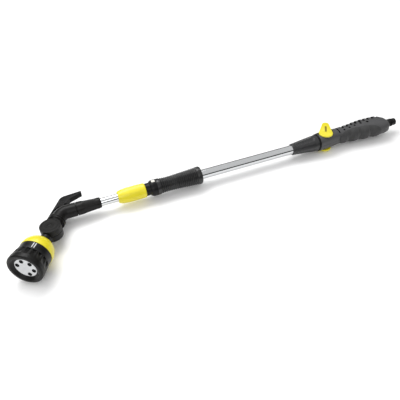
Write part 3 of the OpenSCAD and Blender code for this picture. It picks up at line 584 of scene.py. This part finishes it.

# The pocket that the toggle swings in. Its walls, and the bores cut with it, are black plastic as painted shade in
# the charcoal handle
CHEEK_R, TIP_R, TOGGLE_REACH = 15.0, 7.5, 38.0
toggle_now = math.radians(33)
lean_in = math.asin((CHEEK_R - TIP_R) / TOGGLE_REACH)


def yoke_outline(left, right, grow=0.0, steps=20):
    """Round cheek with a tip that reaches from one lean to another, about the pivot."""
    wide, narrow = CHEEK_R + grow, TIP_R + grow
    points = []
    low = math.pi - lean_in + left
    high = 2 * math.pi + lean_in - right
    for k in range(steps + 1):
        a = low + (high - low) * k / steps
        points.append((wide * math.cos(a), wide * math.sin(a)))
    for lean, first, last in (
            (right, lean_in - right, math.pi / 2 - right),
            (-left, math.pi / 2 + left, math.pi - lean_in + left)):
        centre = (TOGGLE_REACH * math.sin(lean), TOGGLE_REACH * math.cos(lean))
        for k in range(9):
            a = first + (last - first) * k / 8
            points.append((centre[0] + narrow * math.cos(a), centre[1] + narrow * math.sin(a)))
    return [(pivot + x, y) for x, y in points]


pocket = yoke_outline(math.radians(33), math.radians(40), 0.7)
valve_way = turned([(x_front - 1, 0), (x_front - 1, 11.86), (pivot + 22.1, 11.86), (pivot + 22.1, 0)], 96)
# Black walls here are painted shade in the pocket and bores
cut(handle, prism(pocket, 15.5, 40), prism(pocket, -40, -15.5), cylinder(7.4, -30, 30, (pivot, 0)),
    valve_way, material=black)
finish_piece(handle, LAID, "handle", ("handle_shell_upper", "handle_shell_lower"),
    charcoal, 32)

# ---- Finger grip ----

ARCH = (
    (0, -14), (3, -10.5), (6, -8), (16, -5.5), (32, -4), (50, -4.5),
    (70, -6.5), (86, -10.5), (96, -15.5), (103, -21), (105.6, -26),
)


def grip_edge(along):
    return float(np.interp(along, [p[0] for p in ARCH], [p[1] for p in ARCH]))


def grip_angle(along, height):
    """The angle at which the handle's flank passes through a height."""
    centre, deep, _ = section(GRIP_START + along)
    c = max(-1.0, min(1.0, (height - centre) / deep))
    return math.acos(math.copysign(abs(c) ** (1 / SQUARENESS), c))


def grip_lift(along, angle, edge_angle):
    """How far the wrap stands off the handle: rounded at its rim, lobed on the belly."""
    rim = min(1.0, max(0.0, min(along, LOBES * LOBE_LEN - along) / 2.0))
    rim = min(rim, max(0.0, (angle - edge_angle) * 17 / 1.6))
    rim = math.sqrt(max(0.0, 1 - (1 - rim) ** 2))
    belly = max(0.0, -math.cos(angle)) ** 1.5
    lobe = abs(math.sin(math.pi * along / LOBE_LEN)) ** 0.6
    dimple = 0.10 * math.sin(along * 2.4) * min(1.0, rim)
    return rim * (0.7 + 1.5 * belly * lobe - 0.35 * belly * (1 - lobe)) + dimple * rim


rows = []
length_steps, round_steps = 150, 72
for i in range(length_steps + 1):
    along = LOBES * LOBE_LEN * i / length_steps
    edge_angle = grip_angle(along, grip_edge(along))
    outer, inner = [], []
    for j in range(round_steps + 1):
        half = j / round_steps
        angle = edge_angle + (2 * math.pi - 2 * edge_angle) * half
        folded = angle if angle <= math.pi else 2 * math.pi - angle
        lift = grip_lift(along, folded, edge_angle)
        outer.append(handle_point(GRIP_START + along, angle, lift))
        inner.append(handle_point(GRIP_START + along, angle, -0.6))
    rows.append(outer + inner[::-1])
bm = bmesh.new()
made = [[bm.verts.new(p) for p in row] for row in rows]
width = len(made[0])
for i in range(len(made) - 1):
    for j in range(width):
        a, b = made[i], made[i + 1]
        bm.faces.new((a[j], a[(j + 1) % width], b[(j + 1) % width], b[j]))
half = width // 2
for end in (made[0], made[-1]):
    for j in range(half - 1):
        bm.faces.new((end[j], end[j + 1], end[width - 2 - j], end[width - 1 - j]))
bmesh.ops.recalc_face_normals(bm, faces=bm.faces)
piece("finger_wrap", bm, LAID, "handle", ("finger_grip",), rubber, 50)

# ---- Toggle ----

at_rest = yoke_outline(-toggle_now, toggle_now, 0.0, 40)
cheek_low, cheek_high = 15.9, 19.4
toggle = as_object("toggle", prism(at_rest, cheek_low, cheek_high), [yellow])
other = as_object("cheek", prism(at_rest, -cheek_high, -cheek_low), [yellow])
bevel(toggle, 1.1, 4, 50)
bevel(other, 1.1, 4, 50)
tip = (pivot + TOGGLE_REACH * math.sin(toggle_now), TOGGLE_REACH * math.cos(toggle_now))
bridge = as_object("bridge", cylinder(TIP_R - 0.4, -cheek_low - 1, cheek_low + 1, tip, 64), [yellow])
combine(toggle, [other, bridge], "UNION")
slot_place = (Matrix.Translation((pivot, 0, 0)) @ Matrix.Rotation(-toggle_now, 4, "Z")
              @ Matrix.Translation((0, 16, 0)))
# The slots get the dark amber material: painted shade
cut(toggle, capsule(4.2, 24, cheek_high - 1.6, 30, slot_place),
    capsule(4.2, 24, -30, -cheek_high + 1.6, slot_place),
    material=slot_shade_amber)
finish_piece(toggle, LAID, "toggle", ("flow_toggle",), yellow, 30)

# ---- Nipple, lock ring and socket ----

nose = 7.9
ridge = 8.85
outline = rounded([
    (x_rear - 3, 0, 0), (x_rear - 3, 5.9, 0), (x_rear - 0.2, 5.9, 0), (x_rear - 0.2, 9.4, 0),
    (x_rear + 1.5, 9.4, 0.8), (x_rear + 2.5, 6.8, 0.6), (x_rear + 4.5, 6.8, 0.6),
    (x_rear + 6, ridge, 0.5), (x_rear + 9, ridge, 0.8), (x_rear + 9.6, 7.2, 0.4),
    (x_rear + 12, 7.2, 0.4), (x_rear + 13, ridge, 0.4), (x_rear + 15.4, ridge, 0.6),
    (x_rear + 17, nose, 0.4), (-5.4, nose, 0.25), (-5.4, nose - 1.3, 0), (-3, nose - 1.3, 0),
    (-3, nose, 0.25), (0, nose, 0.3), (1, nose - 1, 0.4), (1, 4.5, 0.4), (-18, 4.5, 0),
    (-18, 0, 0)], 0.3)
piece("nipple", turned(outline, 96), LAID, "handle", ("hose_nipple",), black)

outline = rounded([
    (x_ring, 12.5, 0), (x_ring, 19.0), (x_front - 0.06, 19.0), (x_front - 0.06, 12.5, 0)], 0.7)
piece("lock_collar", turned(outline, 128), LAID, "handle", ("lock_ring",), black)

x_socket = span("tube_socket")[0]
FLUTES = 8


def flute(x, angle, r):
    if r < 12:
        return r
    along = (x - (x_socket + 9)) / 43
    if not 0 < along < 1:
        return r
    turn = (angle / (2 * math.pi) * FLUTES) % 1 - 0.5
    ends = math.sqrt(max(0.0, 1 - max(0.0, abs(along - 0.5) * 2 - 0.86) ** 2 / 0.14 ** 2))
    across = max(0.0, 1 - (turn / 0.34) ** 2)
    return r - 1.25 * ends * across ** 0.75


outline = rounded([
    (x_socket, 10.1, 0), (x_socket, 11.4, 0.5), (x_socket + 1, 12.4, 0.8), (x_socket + 7, 12.8, 3),
    (x_ring - 16, 16.6, 6), (x_ring - 4, 17.6, 2), (x_ring - 0.06, 17.6, 0.5), (x_ring - 0.06, 12.5, 0),
    (x_ring - 20, 12.5, 0), (x_ring - 20, 10.1, 0)], 0.4)
piece("socket", turned(stepped(outline, 1.0), 192, flute), LAID, "handle",
      ("tube_socket",), socket_grey, 50)

# ---- Tubes ----

for name, node, body, radius in (
        ("thick_tube", "outer_tube", "handle", 10.0), ("thin_tube", "inner_tube", "lance", 8.0)):
    x0, x1 = span(node)
    outline = rounded([(x0, radius - 1), (x0, radius), (x1, radius), (x1, radius - 1)], 0.3, 3)
    piece(name, turned(stepped(outline, 20), 128), LAID, body, (node,), tube, 30)

# ---- Middle grip ----

x_sleeve = span("grip_sleeve")[1]
x_collar = span("grip_sleeve")[0]
WAIST, SWELL, MOUTH, LIP = 15.25, 18.3, 16.3, 6.0
RIBS, RIB_START = 21, 5.0
rib_end = x_sleeve - x_collar - LIP - 1.5
rib_pitch = (rib_end - RIB_START) / RIBS


def sleeve_radius(x):
    t = min(1.0, max(0.0, (x - x_collar - RIB_START) / (rib_end - RIB_START)))
    if t < 0.25:
        return WAIST + (MOUTH - WAIST) * (1 - t / 0.25) ** 2
    return WAIST + (SWELL - WAIST) * ((t - 0.25) / 0.75) ** 1.2


def ribs(x, angle, r):
    if r < 13.5:
        return r
    along = x - x_collar
    out = r if along > rib_end + 1.4 else sleeve_radius(x)
    turn = abs(((angle / math.pi) % 1) - 0.5) * math.pi
    side = math.pi / 2 - turn
    ends = min(along - RIB_START, rib_end - along) / 2.2
    sides = (side * 16 - 2.0) / 2.2
    corner = min(1.0, max(0.0, min(ends, sides)))
    if ends < 1 and sides < 1:
        corner = min(1.0, max(0.0, 1 - math.hypot(max(0.0, 1 - ends), max(0.0, 1 - sides))))
    wave = 0.5 - 0.5 * math.cos(2 * math.pi * (along - RIB_START) / rib_pitch)
    relief = -0.1 - 1.7 * (1 - wave ** 0.6)
    if sides <= 0:
        return out - 0.75 * min(1.0, -sides * 2.2 / 0.8) * min(1.0, max(0.0, ends))
    return out + relief * corner


outline = rounded([
    (x_sleeve, 10.1, 0), (x_collar + 16, 10.1, 0), (x_collar + 16, 13.1, 0), (x_collar, 13.1, 0),
    (x_collar, MOUTH, 0.7), (x_collar + RIB_START, MOUTH, 0), (x_sleeve - LIP, SWELL, 0),
    (x_sleeve, SWELL, LIP)], 0.4, 8)
piece("sleeve", turned(stepped(outline, 0.55), 220, ribs), LAID, "handle",
      ("grip_sleeve",), ribbed, 60)

# ---- Collar and clamp nut ----

x_base = span("clamp_base")[0]
COLLAR_LEN, NECK_LEN = 13.6, 9.4
x_neck, x_nut = x_collar - COLLAR_LEN, x_collar - COLLAR_LEN - NECK_LEN
COLLAR_R, NECK_R = 16.4, 12.6
outline = rounded([
    (x_base, 8.4, 0), (x_base, 11.3), (x_nut + 0.4, 11.3), (x_nut + 0.8, NECK_R, 0.2),
    (x_neck, NECK_R, 0.8), (x_neck + 0.6, 14.2, 0.8), (x_neck + 5, COLLAR_R, 2.5),
    (x_collar - 0.1, COLLAR_R, 0.6), (x_collar - 0.1, 13.0, 0), (x_collar + 15.7, 13.0, 0),
    (x_collar + 15.7, 10.1, 0), (x_nut - 1.6, 10.1, 0), (x_nut - 1.6, 8.4, 0)], 0.3)
collar = as_object("collar", turned(outline, 128), [black])
notches = [
    box((x_neck - 1.5, -3, COLLAR_R - 0.9), (x_neck + 5.5, 3, COLLAR_R + 6),
        Matrix.Rotation(math.radians(a), 4, "X"))
    for a in (60, 180, 300)]
cut(collar, *notches, box((x_collar - 9, -3.5, COLLAR_R - 1.2), (x_collar - 2, 3.5, COLLAR_R + 4)),
    material=black)
finish_piece(collar, LAID, "handle", ("clamp_base",), black, 30)

x_thin, x_nut_end = span("clamp_nut")


def hollows(count, first, last, depth, fade=5.0, share=0.46):
    """A shape that sinks soft lengthwise hollows into a turned solid."""
    def shape(x, angle, r):
        if r < 9.6 or not first < x < last:
            return r
        ends = min(1.0, (x - first) / fade, (last - x) / fade)
        ends = ends * ends * (3 - 2 * ends)
        t = (angle / (2 * math.pi) * count) % 1 - 0.5
        return r - depth * ends * max(0.0, 1 - (t / share) ** 2)
    return shape


outline = rounded([
    (x_thin, 8.5, 0), (x_thin, 10.9, 0.4), (x_thin + 1.2, 11.8, 0.8), (x_thin + 8, 13.9, 12),
    (x_thin + 20, 15.0, 14), (x_nut_end - 14, 15.0, 14), (x_nut_end - 1.6, 14.3, 1.2),
    (x_nut_end, 13.4, 0.5), (x_nut_end, 11.75, 0), (x_nut_end - 10, 11.5, 0), (x_thin + 13, 11.4, 0),
    (x_thin + 7, 10.1, 0), (x_thin + 6, 8.5, 0)], 0.4, 6)
piece("nut", turned(stepped(outline, 1.2), 192, hollows(8, x_thin + 4, x_nut_end - 3.0, 0.5, 9.0)),
      LAID, "nut", ("clamp_nut",), yellow, 50)

# ---- Connector ----

x_groove_lip, x_connector = span("connector")
outline = rounded([
    (x_groove_lip, 10.6, 0), (x_groove_lip, 13.0, 0.6), (x_groove_lip + 11, 13.0, 8),
    (x_connector - 6, 10.9, 8), (x_connector - 1.2, 10.2, 0.8), (x_connector, 8.9, 0.5),
    (x_connector, 8.1, 0), (x_groove_lip + 11, 8.1, 0), (x_groove_lip + 11, 10.6, 0)], 0.3, 6)
piece("tapered_sleeve",
      turned(stepped(outline, 1.2), 168, hollows(6, x_groove_lip + 9, x_connector - 5, 0.75, 6.0, 0.44)),
      LAID, "lance", ("connector",), dark, 50)

# ---- Elbow and tilt hinge ----

ELBOW_R, BEND_R, DRUM_R, HINGE_TOP, PARTING = 13.2, 20.0, 19.0, 12.5, 0.25
leg_length = math.hypot(hinge.y, hinge.y / math.tan(ELBOW_ANGLE))
x_corner = hinge.x + leg_length * math.cos(ELBOW_ANGLE)
bend_reach = BEND_R * math.tan(ELBOW_ANGLE / 2)
x_groove = x_groove_lip - 0.5


def swept(path, radius, segments=72):
    """A round bar along a path of (x, y, heading)."""
    rows = []
    for x, y, heading in path:
        side = (-math.sin(heading), math.cos(heading))
        rows.append([(x + radius * math.cos(2 * math.pi * k / segments) * side[0],
                      y + radius * math.cos(2 * math.pi * k / segments) * side[1],
                      radius * math.sin(2 * math.pi * k / segments)) for k in range(segments)])
    rows.insert(0, [(path[0][0], path[0][1], 0.0)] * segments)
    rows.append([(path[-1][0], path[-1][1], 0.0)] * segments)
    return from_grid(rows, wrap_rows=False)


def along_leg(distance):
    return hinge.x + distance * math.cos(ELBOW_ANGLE), hinge.y + distance * math.sin(ELBOW_ANGLE)


path = [(x_groove, 0, math.pi)]
for k in range(25):
    a = ELBOW_ANGLE * k / 24
    path.append((
        x_corner + bend_reach - BEND_R * math.sin(a), -BEND_R + BEND_R * math.cos(a), math.pi + a))
path.append((*along_leg(18), math.pi + ELBOW_ANGLE))
own_leg = Matrix.Translation(hinge) @ Matrix.Rotation(ELBOW_ANGLE, 4, "Z")


def bar(x0, x1, radius, matrix=None, fillet=0.0, segments=96):
    bm = turned(rounded([(x0, 0, 0), (x0, radius), (x1, radius), (x1, 0, 0)], fillet), segments)
    if matrix:
        bmesh.ops.transform(bm, matrix=matrix, verts=bm.verts)
    return bm


at_hinge = (hinge.x, hinge.y)
ears = []
for side in (-1, 1):
    low_z = 5.35 if side > 0 else -7.95
    ear = rounded([
        (-4.2, -14, 0), (4.2, -14, 0), (5.2, 0, 3), (5.2, 5.2, 5), (-5.2, 5.2, 5), (-5.2, 0, 3)], 2)
    ears.append(prism([(lever_pin.x + x, lever_pin.y + y) for x, y in ear], low_z, low_z + 2.6))
arm_way = box((18, ELBOW_R + 0.2, -5.7), (29, ELBOW_R + 11, 5.7), own_leg)
elbow = fused("elbow_body", dark, (
    swept(path, ELBOW_R), bar(20, 22.6, 16, own_leg, 0.5), bar(24.8, 27, 16, own_leg, 0.5),
    bar(20, 27, 14.4, own_leg),
    cylinder(DRUM_R, PARTING, HINGE_TOP - 3, at_hinge, 96, 0.3), bar(x_groove - 2, x_groove + 9, 10.4),
    box((0, -11, PARTING), (21, 11, HINGE_TOP - 3), own_leg), *ears),
    (arm_way, cylinder(3.06, -20, 20, at_hinge, 48)))
finish_piece(elbow, LAID, "lance", ("elbow",), dark, 40)

outline = rounded([
    (10.6, 0, 0), (10.6, 4.6, 0), (9.56, 4.6, 0), (9.56, DRUM_R, 0.3), (HINGE_TOP, DRUM_R, 1.0),
    (HINGE_TOP, 15.2, 0.5), (11.6, 15.0, 0.4), (11.6, 7.2, 0.4), (HINGE_TOP, 7.0, 0.4),
    (HINGE_TOP, 4.6, 0.3), (11.3, 4.5, 0.3), (11.3, 0, 0)], 0.3)
piece("cap", turned(outline, 128), HINGE @ AXIS_TO_Z, "lance", ("hinge_cap",), dark, 40)

NECK = 10.0
x_dome = span_head("dome")[0]
knuckle = fused("knuckle", dark, (
    cylinder(DRUM_R, -HINGE_TOP, -PARTING, (0, 0), 96, 0.9), box((0, -9.4, -9.4), (21, 9.4, -PARTING)),
    bar(19, x_dome + 8, NECK), bar(x_dome - 2, x_dome + 1, NECK + 1.6, None, 0.4)),
    (cylinder(3.1, -30, 30, (0, 0), 48),))
finish_piece(knuckle, HEAD, "head", ("tilt_knuckle",), dark, 40)

# ---- Release lever ----


def beside_leg(along, out):
    x, y = along_leg(along)
    return x - out * math.sin(ELBOW_ANGLE), y + out * math.cos(ELBOW_ANGLE)


ARM_LOW, ARM_HIGH, LEVER_Z = 13.9, 17.5, 5.0
tip_x, tip_y = x_corner + 45.5, 46.0
blade = rounded([
    (*beside_leg(15.5, ARM_HIGH), 0.8), (*beside_leg(84, ARM_HIGH - 0.5), 3.5),
    (*beside_leg(90, ARM_HIGH - 4), 3.5), (tip_x - 1.5, tip_y + 1, 0.6), (tip_x, tip_y, 0.6),
    (tip_x - 0.6, tip_y - 5, 0.6), (tip_x - 2.5, tip_y - 6, 0.8), (x_corner + 21, 31, 6),
    (x_corner + 13, 20.5, 5), (lever_pin.x + 3.8, lever_pin.y, 1.5),
    (lever_pin.x, lever_pin.y - 3.8, 1.5), (x_corner - 4.6, 15.4, 1.5),
    (*beside_leg(leg_length, ARM_LOW + 0.8), 2), (*beside_leg(30, ARM_LOW), 2),
    (*beside_leg(15.5, ARM_LOW), 0.6)], 1, 6)
lever = as_object("lever_blade", prism(blade, -LEVER_Z, LEVER_Z), [black])
bevel(lever, 0.9, 4, 40)
hub = as_object("hub", cylinder(4.6, -LEVER_Z - 0.2, LEVER_Z + 0.2, (lever_pin.x, lever_pin.y), 64, 0.4),
    [black])
combine(lever, [hub], "UNION")
cut(lever, cylinder(1.66, -20, 20, (lever_pin.x, lever_pin.y), 40),
    cylinder(3.4, -2.6, 2.6, (lever_pin.x, lever_pin.y), 48),
    material=black)
finish_piece(lever, LAID, "lever", ("release_lever",), black, 30)

# ---- Shower head ----

x_dome_rim = span_head("dome")[1]
DOME_R, FULLNESS, SHELL = 29.3, 1.3, 1.8
mouth = NECK + 2
x_full = x_dome_rim - 2.5
steps = 28
outline = []
for k in range(steps + 1):
    a = math.pi / 2 * k / steps
    outline.append((x_full - (x_full - x_dome) * math.cos(a),
                    mouth + (DOME_R - mouth) * math.sin(a) ** FULLNESS))
outline += rounded([(x_dome_rim - 1.4, DOME_R), (x_dome_rim, DOME_R, 0.5), (x_dome_rim, DOME_R - SHELL)],
    0.5, 4, False)[1:]
for k in range(steps + 1):
    a = math.pi / 2 * (1 - k / steps)
    outline.append((x_full - (x_full - x_dome - SHELL) * math.cos(a),
                    mouth + (DOME_R - SHELL - mouth) * math.sin(a) ** FULLNESS))
piece("yellow_dome", turned(outline, 160), HEAD, "head", ("dome",), yellow, 50)

x_back, rim_front = span_head("bezel")
x_plate = span_head("face_plate")[1]
RIM_R, BACK_R, MOUTH_R, PLATE_R = 32.0, 30.0, 26.0, 19.6
SCALLOPS = 18


def scallop(x, angle, r):
    if r < BACK_R - 1.5 or x > x_back + 15:
        return r
    t = (angle / (2 * math.pi) * SCALLOPS) % 1 - 0.5
    fade = 1 - max(0.0, (x - x_back) / 15)
    fade = fade * fade * (3 - 2 * fade)
    return r - 2.8 * fade ** 0.7 * max(0.0, 1 - (t / 0.33) ** 2) ** 0.6


outline = rounded([
    (x_back, BACK_R - 4.4, 0), (x_back, BACK_R - 0.2, 0.8), (x_back + 11, RIM_R - 0.6, 8),
    (x_back + 15, RIM_R, 6), (rim_front - 0.2, RIM_R, 5.2), (rim_front, MOUTH_R, 1.8),
    (x_plate + 0.3, PLATE_R + 1.3, 1.0), (x_plate, PLATE_R + 0.1, 0), (x_plate - 2.1, PLATE_R + 0.1, 0),
    (x_plate - 2.1, 25.2, 0), (x_back + 6, 25.2, 0), (x_back + 4, BACK_R - 4.4, 0)], 0.4, 8)
piece("rim", turned(stepped(outline, 0.9), 288, scallop), HEAD, "selector", ("bezel",),
    dark, 50)

# Five of six places hold a jet, and the sixth is left blank
JET_TURNS, JET_START, JET_CIRCLE = (0, 60, 120, 240, 300), -46, 14.6
nozzles = []
outline = rounded([
    (x_plate - 2, 0, 0), (x_plate - 2, 1.6, 0), (x_plate - 8, 1.6, 0), (x_plate - 8, 3.6, 0),
    (x_plate - 4, 3.6, 0), (x_plate - 4, 4.5, 0), (x_plate - 2.1, 4.5, 0), (x_plate - 2.1, 3.64, 0),
    (x_plate + 0.9, 3.64, 0.5), (x_plate + 0.9, 2.9, 0.25), (x_plate - 0.9, 2.8, 0.2),
    (x_plate - 0.9, 1.0, 0.2), (x_plate + 0.4, 0.9, 0.3), (x_plate + 0.4, 0, 0)], 0.2)
for turn in JET_TURNS:
    jet = turned(outline, 40)
    about = (Matrix.Rotation(math.radians(turn + JET_START), 4, "X")
             @ Matrix.Translation((0, 0, JET_CIRCLE)))
    bmesh.ops.transform(jet, matrix=about, verts=jet.verts)
    nozzles.append(jet)
piece("nozzles", merged(nozzles), HEAD, "selector", ("jets",), black, 40)

marker = as_object("marker", box((x_dome_rim + 1.5, -3.7, 27.9), (x_back - 2.3, 3.7, 28.3)), [black])
ribs_on_band = [
    as_object("rib", box((x_dome_rim + 1.9, y - 0.6, 28.1), (x_back - 2.7, y + 0.6, 29.2)), [plate_grey])
    for y in (-1.9, 1.9)]
combine(marker, ribs_on_band, "UNION")
MARKER_TURN = math.radians(-18)
finish_piece(marker, HEAD @ Matrix.Rotation(MARKER_TURN, 4, "X"), "head",
    ("pattern_marker",), None, 30)

# ---- Floor, light and camera ----

low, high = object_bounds()
floor_mesh = bpy.data.meshes.new("floor")
reach = 6.0
floor_mesh.from_pydata(
    [(-reach, -reach, low.z), (reach, -reach, low.z), (reach, reach, low.z), (-reach, reach, low.z)],
    [], [(0, 1, 2, 3)])
floor = bpy.data.objects.new("floor", floor_mesh)
scene.collection.objects.link(floor)
floor_paint = bpy.data.materials.new("floor_paint")
floor_paint.use_nodes = True
floor_shader = floor_paint.node_tree.nodes["Principled BSDF"]
floor_shader.inputs["Base Color"].default_value = (0.93, 0.93, 0.93, 1)
floor_shader.inputs["Roughness"].default_value = 0.9
floor_shader.inputs["Specular IOR Level"].default_value = 0.1
floor_mesh.materials.append(floor_paint)

scene.view_settings.view_transform = "Standard"
world = bpy.data.worlds.new("studio")
scene.world = world
world.use_nodes = True
tree = world.node_tree
background = tree.nodes["Background"]
direction = tree.nodes.new("ShaderNodeTexCoord").outputs["Generated"]
split = tree.nodes.new("ShaderNodeSeparateXYZ")
tree.links.new(direction, split.inputs["Vector"])
ramp = tree.nodes.new("ShaderNodeValToRGB")
ramp.color_ramp.interpolation = "EASE"
stops = ((0.0, 0.02), (0.28, 0.02), (0.40, 1.1), (0.66, 1.35), (0.84, 1.35), (1.0, 1.35))
while len(ramp.color_ramp.elements) < len(stops):
    ramp.color_ramp.elements.new(0.5)
for element, (at, level) in zip(ramp.color_ramp.elements, stops):
    element.position = at
    element.color = (level, level, level, 1)
tree.links.new(split.outputs["Z"], ramp.inputs["Fac"])
tree.links.new(ramp.outputs["Color"], background.inputs["Color"])
background.inputs["Strength"].default_value = 0.62


def softbox(name, at, aim, size, power):
    lamp = bpy.data.lights.new(name, "AREA")
    lamp.shape = "RECTANGLE"
    lamp.size, lamp.size_y = size
    lamp.energy = power
    obj = bpy.data.objects.new(name, lamp)
    scene.collection.objects.link(obj)
    obj.location = at
    obj.rotation_mode = "QUATERNION"
    obj.rotation_quaternion = (Vector(aim) - Vector(at)).to_track_quat("-Z", "Y")


middle = ((low.x + high.x) / 2, 0.0, 0.0)
softbox("key", (middle[0] - 0.35, 0.75, 1.35), middle, (1.5, 0.8), 22)
softbox("fill", (middle[0] - 0.6, -1.1, 0.9), middle, (1.2, 0.8), 6)

camera_data = bpy.data.cameras.new("camera")
camera = bpy.data.objects.new("camera", camera_data)
scene.collection.objects.link(camera)
scene.camera = camera
camera_data.sensor_width = 36
camera_data.lens = 40.3
camera_data.shift_x = 0.0015
right = Vector((0.92653, -0.37618, -0.00525))
forward = Vector((0.26135, 0.65360, -0.71028))
up = right.cross(forward).normalized()
camera.matrix_world = Matrix.Translation((-0.7346, -0.6263, 0.6089)) @ Matrix(
    (right, up, -forward)).transposed().to_4x4()
